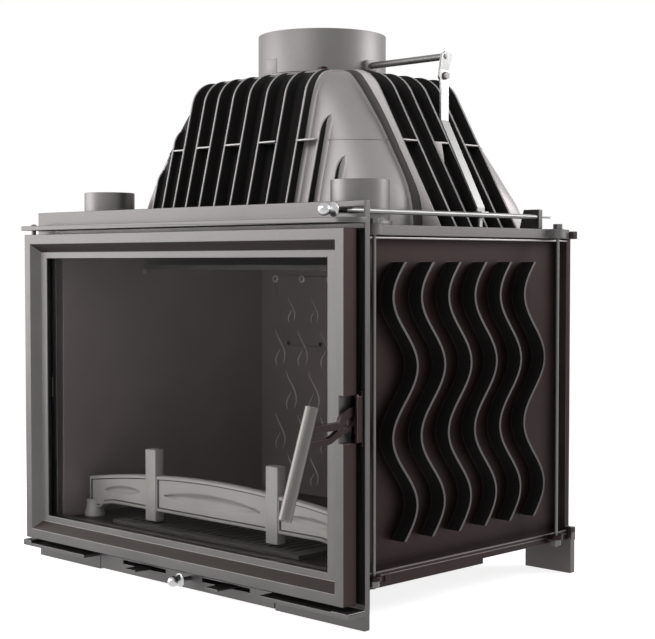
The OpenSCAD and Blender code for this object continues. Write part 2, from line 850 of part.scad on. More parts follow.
// Profile of a fin: a sloping edge that rounds over into a level top, from the foot inwards
module fin_profile(foot, slope, top, round_r, deep) {
    lean = atan(slope);
    centre_z = top - round_r;
    touch_z = centre_z + round_r * sin(lean);
    touch = foot + slope * (touch_z - top_z);
    centre = touch + round_r * cos(lean);
    polygon(concat(
        [[foot + deep, top_z], [foot, top_z]],
        [for (i = [0:10]) [centre - round_r * cos(lean + (90 - lean) * i / 10),
                           centre_z + round_r * sin(lean + (90 - lean) * i / 10)]],
        [[foot + deep, top]]));
}

function front_fin_x(i) = (i - (front_fins - 1) / 2) * front_fin_pitch;
function side_fin_y(j) = flue_y + (j - (side_fins - 1) / 2) * side_fin_pitch;
function front_foot(x) = hood_front - front_fin_reach + front_fin_bow * x * x;

module front_fin(i) {
    x = front_fin_x(i);
    rank = min(i, front_fins - 1 - i);
    top = rank < 2 ? hood_top - outer_fin_drop[rank] : hood_top - 1;
    plate_yz(x - fin_t / 2, fin_t)
        fin_profile(front_foot(x), front_fin_slope, top, rank < 2 ? outer_fin_round : front_fin_round, 125);
}

module side_fin(j) {
    foot = -hood_w / 2 - side_fin_reach;
    plate_xz(side_fin_y(j) - fin_t / 2, fin_t)
        fin_profile(foot, side_fin_slope, hood_top - 1, side_fin_round, 200);
}

module hood_webs() {
    z = top_z + seam_h - web_t / 2;
    for (i = [1:2:front_fins - 2]) {
        edge = front_foot(front_fin_x(i)) + front_fin_slope * seam_h + 0.6;
        block([front_fin_x(i), edge, z], [front_fin_x(i + 1), hood_front + 70, z + web_t]);
    }
    for (side = [-1, 1], j = [0:2:side_fins - 1]) {
        outer = hood_w / 2 + side_fin_reach - side_fin_slope * seam_h - 1.2;
        block([side > 0 ? hood_w / 2 - 90 : -outer, side_fin_y(j), z],
              [side > 0 ? outer : -hood_w / 2 + 90, side_fin_y(j + 1), z + web_t]);
    }
}

// A small triangular gusset under the middle web on the right, in the plane of the fin edges
module hood_gusset() {
    outer = hood_w / 2 + side_fin_reach - side_fin_slope * seam_h - 1.2;
    z = top_z + seam_h;
    y = side_fin_y(2);
    t = 3;
    hull() {
        translate([outer - t, y, z - 1]) cube([t, gusset_w, 1]);
        translate([outer - t + side_fin_slope * gusset_h, y, z - gusset_h]) cube([t, fin_t, 1]);
    }
}

// The raised seam where the upper and the lower half of the casting mould met
module hood_seam() {
    plate_xy(top_z + seam_h - 1, 2) hood_outline(hood_profile[2], 1.2);
}

module smoke_hood() {
    color("slategray") difference() {
        union() {
            hood_shell();
            hood_seam();
            for (i = [0:front_fins - 1])
                front_fin(i);
            for (j = [0:side_fins - 1]) {
                side_fin(j);
                mirror([1, 0, 0]) side_fin(j);
            }
            hood_webs();
            hood_gusset();
        }
        hood_cavity();
        bar_z(0, flue_y, hood_top - hood_roof - past, hood_top + past, 2 * flue_r);
        for (a = bolt_angles)
            bar_z(ear_circle * cos(a), flue_y + ear_circle * sin(a),
                  hood_top - hood_roof - past, hood_top + past, bolt_d + 2 * run);
    }
}

// The pad at the front of the collar, with an arched top
module collar_pad() {
    translate([-22, 2]) square([24, 20]);
    translate([-14, 2]) square([8, 27]);
    for (x = [-14, -6])
        translate([x, 21]) circle(8);
}

module flue_collar() {
    boss_w = 22;
    boss_h = 16;
    color("silver") translate([0, flue_y, hood_top]) difference() {
        union() {
            rotate(20) cylinder(h = collar_h, r = collar_r - seat_step, $fn = 128);
            translate([0, 0, collar_h - seat_h]) rotate(20) cylinder(h = seat_h, r = collar_r, $fn = 128);
            rotate(20) cylinder(h = flange_t, r = collar_r + 5, $fn = 128);
            for (a = bolt_angles) rotate(a) {
                translate([ear_circle, 0, 0]) cylinder(h = flange_t, r = 9);
                translate([collar_r - 3, -9, 0]) cube([ear_circle - collar_r + 3, 18, flange_t]);
            }
            for (side = [-1, 1])
                translate([side * (collar_r + 2) - 5, -boss_w / 2, shaft_rise - boss_h / 2])
                    cube([10, boss_w, boss_h]);
            translate([0, 10 - collar_r, 0]) rotate([90, 0, 0]) linear_extrude(10) collar_pad();
        }
        translate([0, 0, -past]) rotate(20)
            cylinder(h = collar_h + 2 * past, r = flue_r, $fn = 128);
        for (side = [0, 180])
            rotate(side) translate([flue_r - 6, 0, shaft_rise]) rotate([0, 90, 0]) rotate(45)
                cylinder(h = 20, d = shaft_d + 2 * run);
        for (a = bolt_angles) rotate(a)
            translate([ear_circle, 0, -past]) cylinder(h = flange_t + 2 * past, d = bolt_d + 2 * run);
    }
}

module collar_bolts() {
    color("silver")
        for (a = bolt_angles)
            translate([ear_circle * cos(a), flue_y + ear_circle * sin(a), hood_top]) {
                translate([0, 0, -hood_roof]) cylinder(h = hood_roof + flange_t, d = bolt_d);
                translate([0, 0, flange_t]) hexagon(13, 5);
            }
}

module rod_bracket() {
    t = 8.5;
    high = facade_h - 1;
    color("gray") difference() {
        plate_xz(bracket_y, t)
            polygon([[rod_x - 30.6, top_z], [rod_x + 5, top_z], [rod_x + 5, high], [rod_x - 23, high]]);
        bar_y(rod_x, bracket_y - past, bracket_y + t + past, rod_z, tail_d + 2 * run);
    }
}

module air_spigot(side) {
    color("silver") translate([side * spigot_x, spigot_y, top_z]) difference() {
        union() {
            cylinder(h = spigot_h, d = spigot_d, $fn = 96);
            cylinder(h = 6, d = spigot_d + 6.8, $fn = 96);
        }
        translate([0, 0, -past])
            cylinder(h = spigot_h + 2 * past, d = spigot_d - 2 * spigot_wall, $fn = 96);
    }
}

module air_spigot_left() { air_spigot(-1); }

module air_spigot_right() { air_spigot(1); }

module tie_rods() {
    color("silver")
        for (side = [-1, 1], y = tie_y)
            translate([side * tie_x, y, 0]) {
                bar_z(0, 0, base_low - 11, top_z, tie_d);
                translate([0, 0, top_z]) hexagon(13, 7.3);
            }
}

module tie_rod_nuts() {
    color("silver")
        for (side = [-1, 1], y = tie_y)
            translate([side * tie_x, y, base_low - 8.2]) difference() {
                hexagon(14, 8.2);
                translate([0, 0, -past]) cylinder(h = 9 + past, d = tie_d + 2 * run);
            }
}

module hinge_pin_upper() {
    color("silver") {
        bar_z(hinge_x, hinge_y, door_top - hinge_grip, upper_ledge_top, hinge_d);
        translate([hinge_x, hinge_y, upper_ledge_top]) dome(hinge_d + 3.6, 3);
    }
}

module hinge_pin_lower() {
    color("silver") {
        bar_z(hinge_x, hinge_y, lower_ledge_z, door_z + hinge_grip, hinge_d);
        bar_z(hinge_x, hinge_y, block_top, door_z - slip, 2 * hinge_d);
    }
}

module latch_keeper() {
    low = window_low - 16;
    high = lip_z + 24;
    color("silver") difference() {
        union() {
            block([hook_x - 2.8, -keeper_t, low], [flange_x + keeper_t, 0, high]);
            block([flange_x, -12, low + 6], [flange_x + keeper_t, -keeper_t, high - 6]);
        }
        block([window_x0 + 0.6, -keeper_t - past, window_low], [window_x1 - 0.4, past, lip_z]);
        for (z = keeper_screw_z)
            bar_y(keeper_screw_x, -keeper_t - past, past, z, 4 + 2 * run);
    }
}

module keeper_screws() {
    color("silver")
        for (z = keeper_screw_z) {
            bar_y(keeper_screw_x, -keeper_t, facade_t - 2, z, 4);
            translate([keeper_screw_x, -keeper_t, z]) rotate([90, 0, 0]) dome(7, 2.2);
        }
}

// The bevelled hollow in front of the glass, wide at the rim and narrow at the band
module door_hollow() {
    y0 = door_front - past;
    grow = bevel_w * past / bevel_d;
    x1 = sight_x + band_side;
    z0 = sight_low - band_end;
    z1 = sight_top + band_end;
    intersection() {
        translate([0, 0, door_z]) linear_extrude(door_top - door_z)
            polygon([[-x1 - bevel_w - grow, y0], [x1 + bevel_w + grow, y0],
                     [x1, band_front], [-x1, band_front]]);
        plate_yz(-door_x, 2 * door_x)
            polygon([[y0, z0 - bevel_w - grow], [y0, z1 + bevel_w + grow],
                     [band_front, z1], [band_front, z0]]);
    }
}

// A ring around the fire opening, seen from the front, for the door gasket and its groove
module gasket_ring(width) {
    mid_z = (opening_z + opening_top) / 2;
    w = 2 * (opening_x + rope_step);
    h = opening_top - opening_z + 2 * rope_step;
    translate([0, mid_z]) difference() {
        rounded(w + width, h + width, 8 + width);
        rounded(w - width, h - width, 8);
    }
}

function clip_spots() = [
    for (x = [-200, 200]) [x, sight_low - glass_lap, -90],
    for (x = [-200, 200]) [x, sight_top + glass_lap, 90],
    for (side = [-1, 1]) [side * (sight_x + glass_lap), (sight_low + sight_top) / 2, side > 0 ? 0 : 180]];

module door_frame() {
    pocket_x = sight_x + glass_lap + pocket_gap;
    pocket_low = sight_low - glass_lap - pocket_gap;
    pocket_top = sight_top + glass_lap + pocket_gap;
    color("gray") difference() {
        block([-door_x, door_front, door_z], [door_x, door_back, door_top]);
        door_hollow();
        block([-sight_x, band_front - past, sight_low], [sight_x, band_back + past, sight_top]);
        block([-pocket_x, band_back, pocket_low], [pocket_x, door_back + past, pocket_top]);
        plate_xz(door_back - groove_d, groove_d + past) gasket_ring(rope_w + 0.2);
        block([notch_x, door_front - past, notch_low], [door_x + past, door_back + past, notch_top]);
        bar_z(hinge_x, hinge_y, door_top - hinge_grip - 5, door_top + past, hinge_d + 2 * run);
        bar_z(hinge_x, hinge_y, door_z - past, door_z + hinge_grip + 5, hinge_d + 2 * run);
        bar_x(notch_x - 16, notch_x + past, pivot_y, handle_z, pivot_d + 2 * run);
        for (spot = clip_spots())
            translate([spot[0], 0, spot[1]]) rotate([0, -spot[2], 0])
                bar_y(clip_hole, door_back - 5, door_back + past, 0, 3 + 2 * run);
    }
}

module door_glass() {
    color([0.2, 0.2, 0.2, 0.5])
        block([-sight_x - glass_lap, glass_front, sight_low - glass_lap],
              [sight_x + glass_lap, door_back, sight_top + glass_lap]);
}

module glass_gasket() {
    w = 2 * (sight_x + glass_lap);
    h = sight_top - sight_low + 2 * glass_lap;
    color("black") plate_xz(band_back, tape_t)
        translate([0, (sight_low + sight_top) / 2]) difference() {
            square([w, h], center = true);
            square([w - 2 * glass_lap + 2, h - 2 * glass_lap + 2], center = true);
        }
}

module door_gasket() {
    color("black") plate_xz(door_back - groove_d, door_gap + groove_d - slip) gasket_ring(rope_w);
}

// Small plates that hold the glass, drawn with the edge of the glass on X = 0
module glass_clips() {
    color("silver")
        for (spot = clip_spots())
            translate([spot[0], door_back, spot[1]]) rotate([0, -spot[2], 0]) difference() {
                translate([-7, 0, -15]) cube([7 + pocket_gap + 4.4, 2, 30]);
                bar_y(clip_hole, -past, 2 + past, 0, 3 + 2 * run);
            }
}

module clip_screws() {
    color("silver")
        for (spot = clip_spots())
            translate([spot[0], door_back, spot[1]]) rotate([0, -spot[2], 0]) {
                bar_y(clip_hole, -5, 2, 0, 3);
                translate([clip_hole, 2, 0]) rotate([-90, 0, 0]) dome(5, 1.6);
            }
}

module handle_screw() {
    head_x = door_x - recess_d + 0.1;
    color("silver") {
        bar_x(notch_x - 16, head_x, pivot_y, handle_z, pivot_d);
        translate([head_x, pivot_y, handle_z]) rotate([0, 90, 0]) dome(pivot_d + 2, 1.5);
    }
}

// A pointed leaf along the first axis, made of two arcs
module leaf(length, width) {
    r = (length * length + width * width) / (4 * width);
    intersection() {
        translate([0, r - width / 2]) circle(r, $fn = 128);
        translate([0, width / 2 - r]) circle(r, $fn = 128);
    }
}

// An arm of the bracket: a half wave from the hub that runs on level to the grip
module arm(from, to, run_out, width_in, width_out) {
    steps = 12;
    ends = [for (i = [0:steps]) i / steps];
    mid = [for (t = ends) [from[0] + (to[0] - from[0]) * t,
                           from[1] + (to[1] - from[1]) * (1 - cos(180 * t)) / 2]];
    wide = [for (t = ends) (width_in + (width_out - width_in) * t) / 2];
    polygon(concat(
        [for (i = [0:steps]) mid[i] + [0, wide[i]]],
        [[run_out, to[1] + width_out / 2], [run_out, to[1] - width_out / 2]],
        [for (i = [steps:-1:0]) mid[i] - [0, wide[i]]]));
}

module handle_bracket() {
    color("dimgray") difference() {
        union() {
            plate_yz(bracket_x, bracket_t) translate([pivot_y, handle_z]) {
                translate([-3, 2.3]) rotate(46.6) leaf(44, 24);
                arm([-13, -3.4], [-42, -4.2], -73, 9.4, 9.4);
                arm([-13, -12], [-40, -21.6], -79, 11, 7.6);
            }
            plate_yz(hook_x, hook_t) translate([pivot_y, handle_z])
                polygon([[-4, -6], [8, -4], [pivot_back + 12, 0.3], [pivot_back + 12, 13.8],
                         [pivot_back + 8.8, 13.8], [pivot_back + 7.6, 8.3], [0, 8.3]]);
        }
        plate_yz(door_x - recess_d, recess_d + past) translate([pivot_y, handle_z])
            rotate(28) leaf(26, 10);
        bar_x(bracket_x - past, door_x + past, pivot_y, handle_z, pivot_d + 2 * run);
        bar_x(door_x - recess_d, door_x + past, pivot_y, handle_z, pivot_d + 3.2);
        grip_place() cylinder(h = grip_len, d = grip_d + 0.04);
    }
}

// Puts its children at the lower end of the grip, with Z along the grip
module grip_place() {
    translate([bracket_x + bracket_t / 2, grip_end_y, grip_end_z]) rotate([-grip_lean, 0, 0]) children();
}

module handle_grip() {
    r = grip_d / 2;
    color("silver") grip_place() rotate_extrude()
        polygon([[0, 0], [r - grip_bevel, 0], [r, grip_bevel], [r, grip_len - grip_bevel],
                 [r - grip_bevel, grip_len], [0, grip_len]]);
}

module damper_plate() {
    color("dimgray") difference() {
        bar_z(0, flue_y, shaft_z + flat_rise, shaft_z + flat_rise + disc_t, 2 * disc_r, $fn = 128);
        for (side = [-1, 1])
            bar_z(side * 45, flue_y, shaft_z, shaft_z + flat_rise + disc_t + past, 5 + 2 * run);
    }
}

module damper_shaft() {
    color("silver") difference() {
        union() {
            bar_x(-collar_r - 9, crank_x, flue_y, shaft_z, shaft_d);
            bar_x(crank_x, crank_x + crank_t, flue_y, shaft_z, 6);
            translate([crank_x + crank_t, flue_y, shaft_z]) rotate([0, 90, 0]) dome(8, 1.2);
        }
        block([-flue_r + 1, flue_y - shaft_d, shaft_z + flat_rise],
              [flue_r - 1, flue_y + shaft_d, shaft_z + shaft_d]);
        for (side = [-1, 1])
            bar_z(side * 45, flue_y, shaft_z - shaft_d, shaft_z + shaft_d, 5 + 2 * run);
    }
}

module damper_screws() {
    color("silver")
        for (side = [-1, 1]) {
            bar_z(side * 45, flue_y, shaft_z - 4, shaft_z + flat_rise + disc_t, 5);
            translate([side * 45, flue_y, shaft_z + flat_rise + disc_t]) dome(10, 3);
        }
}

module damper_crank() {
    r = strip_w / 2;
    color("gainsboro") difference() {
        plate_yz(crank_x, crank_t) polygon(concat(
            [for (a = [165:15:345]) [crank_pin_y + r * cos(a), crank_pin_z + r * sin(a)]],
            [for (c = crank_corners) [flue_y + c[0], shaft_z + c[1]]]));
        bar_x(crank_x - past, crank_x + crank_t + past, flue_y, shaft_z, 6 + 2 * run);
        bar_x(crank_x - past, crank_x + crank_t + past, crank_pin_y, crank_pin_z, crank_pin_d + 2 * run);
    }
}

module crank_bolts() {
    nut_x = link_x + link_t + slip;
    color("silver") {
        translate([crank_x, crank_pin_y, crank_pin_z]) rotate([0, -90, 0]) dome(9, 3);
        bar_x(crank_x, nut_x + 4, crank_pin_y, crank_pin_z, crank_pin_d);
        translate([nut_x, crank_pin_y, crank_pin_z]) rotate([0, 90, 0]) hexagon(10, 4);
    }
}

// The link: a flat strip that hangs from the crank, slants outwards and ends in a tongue beside the rod
module damper_link() {
    foot = eye_top + 0.6;
    lower_bend = rod_z + 11;
    upper_bend = crank_pin_z - 64;
    color("gainsboro") difference() {
        union() {
            plate_xz(crank_pin_y - strip_w / 2, strip_w)
                polygon([[link_foot_x, foot], [link_foot_x + link_t, foot],
                         [link_foot_x + link_t, lower_bend], [link_x + link_t, upper_bend],
                         [link_x + link_t, crank_pin_z + 8], [link_x, crank_pin_z + 8],
                         [link_x, upper_bend], [link_foot_x, lower_bend]]);
            block([link_foot_x, crank_pin_y - tongue_w / 2, top_z + 1],
                  [link_foot_x + link_t, crank_pin_y + tongue_w / 2, foot + 1]);
        }
        bar_x(link_x - past, link_x + link_t + past, crank_pin_y, crank_pin_z, crank_pin_d + 2 * run);
    }
}

module pull_rod() {
    half = tongue_w / 2 + eye_play;
    color("silver") {
        bar_y(rod_x, -ball_y + 9, shoulder_y, rod_z, rod_d);
        bar_y(rod_x, shoulder_y, tail_end_y, rod_z, tail_d);
        difference() {
            block([link_foot_x - 4, crank_pin_y - eye_w / 2, eye_low],
                  [rod_x, crank_pin_y + eye_w / 2, eye_top]);
            block([link_foot_x - slip, crank_pin_y - half, eye_low - past],
                  [link_foot_x + link_t + slip, crank_pin_y + half, eye_top + past]);
        }
    }
}

module pull_knob() {
    color("white") translate([rod_x, 0, rod_z]) rotate([90, 0, 0])
        knob(ball_d, ball_y, bell_d, ball_y - 18, rod_d);
}

module air_slide_rod() {
    color("silver") bar_y(air_x, -air_ball_y + 8, flap_y, air_z, air_rod_d);
}

module air_slide_knob() {
    color("white") translate([air_x, 0, air_z]) rotate([90, 0, 0])
        knob(air_ball_d, air_ball_y, air_bell_d, air_ball_y - 14, air_rod_d);
}

module air_flap() {
    color("slategray")
        block([air_x - flap_w / 2, flap_y, flap_z], [air_x + flap_w / 2, flap_y + flap_t, flap_z + flap_h]);
}

// Puts a module in the frame of the finished object
module placed() {
    translate([0, shift_y, 0]) children();
}

placed() facade_frame();
placed() air_inlet_cover();
placed() base_plate();
placed() ash_box();
placed() ash_pan();
placed() grate();
placed() log_guard();
placed() side_panel_left();
placed() side_panel_right();
placed() back_panel();
placed() fire_back();
placed() baffle_plate();
placed() air_wash_duct();
placed() top_plate();
placed() smoke_hood();
placed() flue_collar();
placed() collar_bolts();
placed() rod_bracket();
placed() air_spigot_left();
placed() air_spigot_right();
placed() tie_rods();
placed() tie_rod_nuts();
placed() hinge_pin_upper();
placed() hinge_pin_lower();
placed() latch_keeper();
placed() keeper_screws();
placed() door_frame();
placed() door_glass();
placed() glass_gasket();
placed() door_gasket();
placed() glass_clips();
placed() clip_screws();
placed() handle_screw();
placed() handle_bracket();
placed() handle_grip();
placed() damper_plate();
placed() damper_shaft();
placed() damper_screws();
placed() damper_crank();
placed() crank_bolts();
placed() damper_link();
placed() pull_rod();
placed() pull_knob();
placed() air_slide_rod();
placed() air_slide_knob();
placed() air_flap();
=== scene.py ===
"""Looks of the cast iron fireplace insert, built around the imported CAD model. Everything is in metres."""

import json
import math

import bmesh
import bpy
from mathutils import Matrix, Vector

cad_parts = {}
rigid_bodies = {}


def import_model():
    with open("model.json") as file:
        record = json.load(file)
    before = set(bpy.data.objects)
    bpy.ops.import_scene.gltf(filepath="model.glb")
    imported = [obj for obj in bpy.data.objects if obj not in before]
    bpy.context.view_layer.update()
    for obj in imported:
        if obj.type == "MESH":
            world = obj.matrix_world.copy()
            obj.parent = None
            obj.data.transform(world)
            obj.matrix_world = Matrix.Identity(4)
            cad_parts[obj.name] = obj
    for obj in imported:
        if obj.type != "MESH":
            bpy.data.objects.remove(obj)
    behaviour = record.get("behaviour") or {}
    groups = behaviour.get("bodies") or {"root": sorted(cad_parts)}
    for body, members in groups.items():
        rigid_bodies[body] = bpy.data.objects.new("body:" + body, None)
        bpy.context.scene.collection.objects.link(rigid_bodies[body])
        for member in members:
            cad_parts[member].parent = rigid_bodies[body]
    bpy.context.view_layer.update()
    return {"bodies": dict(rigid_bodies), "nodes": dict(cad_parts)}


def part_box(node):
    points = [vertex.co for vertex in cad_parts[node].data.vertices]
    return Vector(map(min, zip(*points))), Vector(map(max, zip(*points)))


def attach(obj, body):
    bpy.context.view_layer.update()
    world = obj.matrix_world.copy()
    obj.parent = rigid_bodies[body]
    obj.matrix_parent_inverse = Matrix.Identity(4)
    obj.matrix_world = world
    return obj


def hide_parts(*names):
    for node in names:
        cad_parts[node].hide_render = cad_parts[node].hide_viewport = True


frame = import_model()
nodes = frame["nodes"]

MM = 0.001
FACADE_T = 10 * MM

# The front face of the facade is the plane that depths are measured from
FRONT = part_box("base_plate")[0].y - FACADE_T


def at(x, y, z):
    """A point from millimetres: x from the middle, y behind the front of the facade, z above the floor."""
    return Vector((x * MM, FRONT + y * MM, z * MM))


def level_of(point):
    """The reverse of at: a point's x, y and z in millimetres."""
    return point.x / MM, (point.y - FRONT) / MM, point.z / MM


# Materials

CAST_TINT = (1.0, 0.945, 0.94)
BROWN_TINT = (1.0, 0.50, 0.49)
DARK_TINT = (1.0, 0.90, 0.88)
ZINC_TINT = (1.0, 0.99, 0.98)

# Cosine between the true and the rounded normal, on a flat face and on an edge with wear and a painted highlight
FLAT_COSINE, EDGE_COSINE = 0.995, 0.90
IRON_EDGE, STEEL_EDGE = 0.9 * MM, 0.6 * MM


def new_material(name):
    material = bpy.data.materials.new(name)
    material.use_nodes = True
    tree = material.node_tree
    tree.nodes.clear()
    output = tree.nodes.new("ShaderNodeOutputMaterial")
    return material, tree, output


def add(tree, kind, inputs=None, **settings):
    """A new node with its settings and with numbers or links on its inputs."""
    node = tree.nodes.new(kind)
    for key, value in settings.items():
        setattr(node, key, value)
    for key, value in (inputs or {}).items():
        if isinstance(value, bpy.types.NodeSocket):
            tree.links.new(value, node.inputs[key])
        else:
            node.inputs[key].default_value = value
    return node


def grey(level, tint):
    return (level * tint[0], level * tint[1], level * tint[2], 1.0)


def mix_colour(tree, factor, low, high):
    return add(tree, "ShaderNodeMix", {0: factor, 6: low, 7: high}, data_type="RGBA").outputs[2]


def ramp(tree, value, low, high, out_low=0.0, out_high=1.0):
    node = add(tree, "ShaderNodeMapRange",
               {"Value": value, "From Min": low, "From Max": high, "To Min": out_low, "To Max": out_high})
    return node.outputs["Result"]


def object_place(tree):
    return add(tree, "ShaderNodeTexCoord").outputs["Object"]


def bump_normal(tree, strength, distance, height):
    node = add(tree, "ShaderNodeBump", {"Strength": strength, "Distance": distance, "Height": height})
    return node.outputs["Normal"]


def edge_wear_highlight_mask(tree, radius):
    """1 on edges that get wear and a painted highlight, 0 on flat faces: how far a rounded normal leans from the
    true one.
    """
    rounded = add(tree, "ShaderNodeBevel", {"Radius": radius}, samples=8).outputs["Normal"]
    true = add(tree, "ShaderNodeNewGeometry").outputs["Normal"]
    cosine = add(tree, "ShaderNodeVectorMath", {0: rounded, 1: true}, operation="DOT_PRODUCT")
    return ramp(tree, cosine.outputs["Value"], FLAT_COSINE, EDGE_COSINE)


def principled(tree, output, inputs):
    shader = add(tree, "ShaderNodeBsdfPrincipled", inputs)
    tree.links.new(shader.outputs[0], output.inputs["Surface"])


def cast_iron(name, level, tint, edge, metal, rough, grain=1.0, shine=0.5):
    """Painted or raw cast iron: fine sand grain, cloudy tone, and edges lightened by wear and a painted
    highlight.
    """
    material, tree, output = new_material(name)
    place = object_place(tree)
    cloud = add(tree, "ShaderNodeTexNoise", {"Vector": place, "Scale": 9.0, "Detail": 4.0, "Roughness": 0.6})
    sand = add(tree, "ShaderNodeTexNoise", {"Vector": place, "Scale": 900.0, "Detail": 2.0, "Roughness": 0.6})
    pits = add(tree, "ShaderNodeTexVoronoi", {"Vector": place, "Scale": 420.0}, feature="F1")
    tone = mix_colour(tree, ramp(tree, cloud.outputs["Fac"], 0.35, 0.68),
                      grey(level * 0.9, tint), grey(level * 1.1, tint))
    speckled = mix_colour(tree, ramp(tree, sand.outputs["Fac"], 0.35, 0.7, 0.0, 0.4), tone,
                          grey(level * 1.35, tint))
    # Lighter edge colour: rubbed wear with a painted highlight on top
    edge_wear_and_highlight = ramp(tree, edge_wear_highlight_mask(tree, IRON_EDGE), 0.0, 1.0, 0.0, 0.85)
    height = add(tree, "ShaderNodeMath", {0: sand.outputs["Fac"], 1: pits.outputs["Distance"]}, operation="ADD")
    principled(tree, output, {
        "Base Color": mix_colour(tree, edge_wear_and_highlight, speckled, grey(edge, tint)),
        "Roughness": ramp(tree, cloud.outputs["Fac"], 0.3, 0.7, rough - 0.05, rough + 0.06),
        "Normal": bump_normal(tree, 0.25 * grain, 0.25 * MM, height.outputs[0]),
        "Metallic": metal,
        "Specular IOR Level": shine})
    return material


def sheet_steel(name, level, tint, edge, metal, rough, streak=(1.0, 1.0, 1.0), bump_scale=1.0):
    """Rolled or plated steel: streaks one way, a soft sheen, and bright edges: cut metal with a painted
    highlight.
    """
    material, tree, output = new_material(name)
    place = object_place(tree)
    stretched = add(tree, "ShaderNodeMapping", {"Vector": place, "Scale": streak})
    brush = add(tree, "ShaderNodeTexNoise", {"Vector": stretched.outputs[0], "Scale": 260.0, "Detail": 3.0})
    cloud = add(tree, "ShaderNodeTexNoise", {"Vector": place, "Scale": 22.0, "Detail": 3.0})
    tone = mix_colour(tree, cloud.outputs["Fac"], grey(level * 0.9, tint), grey(level * 1.08, tint))
    streaked = mix_colour(tree, ramp(tree, brush.outputs["Fac"], 0.3, 0.7, 0.0, 0.3), tone,
                          grey(level * 1.2, tint))
    # Lighter edge colour: bare cut metal with a painted highlight on top
    edge_wear_and_highlight = ramp(tree, edge_wear_highlight_mask(tree, STEEL_EDGE), 0.0, 1.0, 0.0, 0.6)
    principled(tree, output, {
        "Base Color": mix_colour(tree, edge_wear_and_highlight, streaked, grey(edge, tint)),
        "Roughness": ramp(tree, brush.outputs["Fac"], 0.3, 0.7, rough - 0.06, rough + 0.08),
        "Normal": bump_normal(tree, 0.12 * bump_scale, 0.1 * MM, brush.outputs["Fac"]),
        "Metallic": metal})
    return material


def chrome_plate(name):
    material, tree, output = new_material(name)
    cloud = add(tree, "ShaderNodeTexNoise", {"Vector": object_place(tree), "Scale": 60.0, "Detail": 2.0})
    principled(tree, output, {
        "Base Color": mix_colour(tree, cloud.outputs["Fac"], (0.42, 0.42, 0.425, 1), (0.52, 0.52, 0.52, 1)),
        "Metallic": 1.0,
        "Roughness": ramp(tree, cloud.outputs["Fac"], 0.3, 0.7, 0.24, 0.32)})
    return material


def ceramic_glass(name):
    """Clear glass ceramic with a faint grey tint and a weak soft sheen, which lets the lamps' light through."""
    material, tree, output = new_material(name)
    glass = add(tree, "ShaderNodeBsdfPrincipled",
                {"Base Color": (0.86, 0.85, 0.84, 1), "Roughness": 0.02, "IOR": 1.001, "Transmission Weight": 1.0,
                 "Specular IOR Level": 0.03, "Coat Weight": 0.045, "Coat Roughness": 0.35, "Coat IOR": 1.5})
    clear = add(tree, "ShaderNodeBsdfTransparent", {"Color": (0.8, 0.79, 0.78, 1)})
    path = add(tree, "ShaderNodeLightPath")
    mixed = add(tree, "ShaderNodeMixShader",
                {0: path.outputs["Is Shadow Ray"], 1: glass.outputs[0], 2: clear.outputs[0]})
    tree.links.new(mixed.outputs[0], output.inputs["Surface"])
    return material


def rope_gasket(name):
    """Woven black fibre rope and tape."""
    material, tree, output = new_material(name)
    place = object_place(tree)
    weave = add(tree, "ShaderNodeTexWave", {"Vector": place, "Scale": 220.0, "Distortion": 2.0, "Detail": 2.0},
                bands_direction="DIAGONAL")
    fuzz = add(tree, "ShaderNodeTexNoise", {"Vector": place, "Scale": 700.0, "Detail": 3.0})
    height = add(tree, "ShaderNodeMath", {0: weave.outputs["Fac"], 1: fuzz.outputs["Fac"]}, operation="ADD")
    principled(tree, output, {
        "Base Color": mix_colour(tree, weave.outputs["Fac"], (0.006, 0.006, 0.006, 1), (0.020, 0.017, 0.016, 1)),
        "Roughness": 0.9,
        "Normal": bump_normal(tree, 0.6, 0.5 * MM, height.outputs[0])})
    return material


front_iron = cast_iron("front_iron", 0.10, CAST_TINT, edge=0.26, metal=0.85, rough=0.40)
# Dark brown iron of the body, darkened partly as painted shade on the sides that face away from the lamps
body_iron = cast_iron("body_iron", 0.019, BROWN_TINT, edge=0.30, metal=0.8, rough=0.42)
plate_iron = cast_iron("plate_iron", 0.19, CAST_TINT, edge=0.40, metal=0.5, rough=0.66, shine=0.3)
leg_iron = cast_iron("leg_iron", 0.12, (1.0, 0.88, 0.86), edge=0.30, metal=0.8, rough=0.42)
hood_iron = cast_iron("hood_iron", 0.31, CAST_TINT, edge=0.42, metal=0.6, rough=0.48)
# Near-black painted shade, put where shade falls: between the fins, on their flanks, in holes and on ledge tops
painted_shade_iron = cast_iron("painted_shade_iron", 0.012, DARK_TINT, edge=0.03, metal=0.2, rough=0.7, shine=0.2)
# Painted shade, less dark, in the concave fillet in front of the first side fin
valley_shade_iron = cast_iron("valley_shade_iron", 0.050, DARK_TINT, edge=0.1, metal=0.5, rough=0.55)
# Lighter tips of the wavy fins: a painted highlight
tip_highlight_iron = cast_iron("tip_highlight_iron", 0.075, CAST_TINT, edge=0.2, metal=0.6, rough=0.5)
# Light bead colour: a painted highlight along the panels' top beads
bead_highlight_iron = cast_iron("bead_highlight_iron", 0.40, CAST_TINT, edge=0.5, metal=0.6, rough=0.5)
spigot_iron = cast_iron("spigot_iron", 0.175, CAST_TINT, edge=0.3, metal=0.8, rough=0.42, grain=0.5)
wall_iron = cast_iron("wall_iron", 0.21, (1.0, 0.84, 0.83), edge=0.2, metal=0.4, rough=0.5)
# Door rim bevels, painted darker as shade where they turn away from the lamps
bevel_shade_iron = cast_iron("bevel_shade_iron", 0.018, (1.0, 0.58, 0.48), edge=0.10, metal=0.6, rough=0.5)
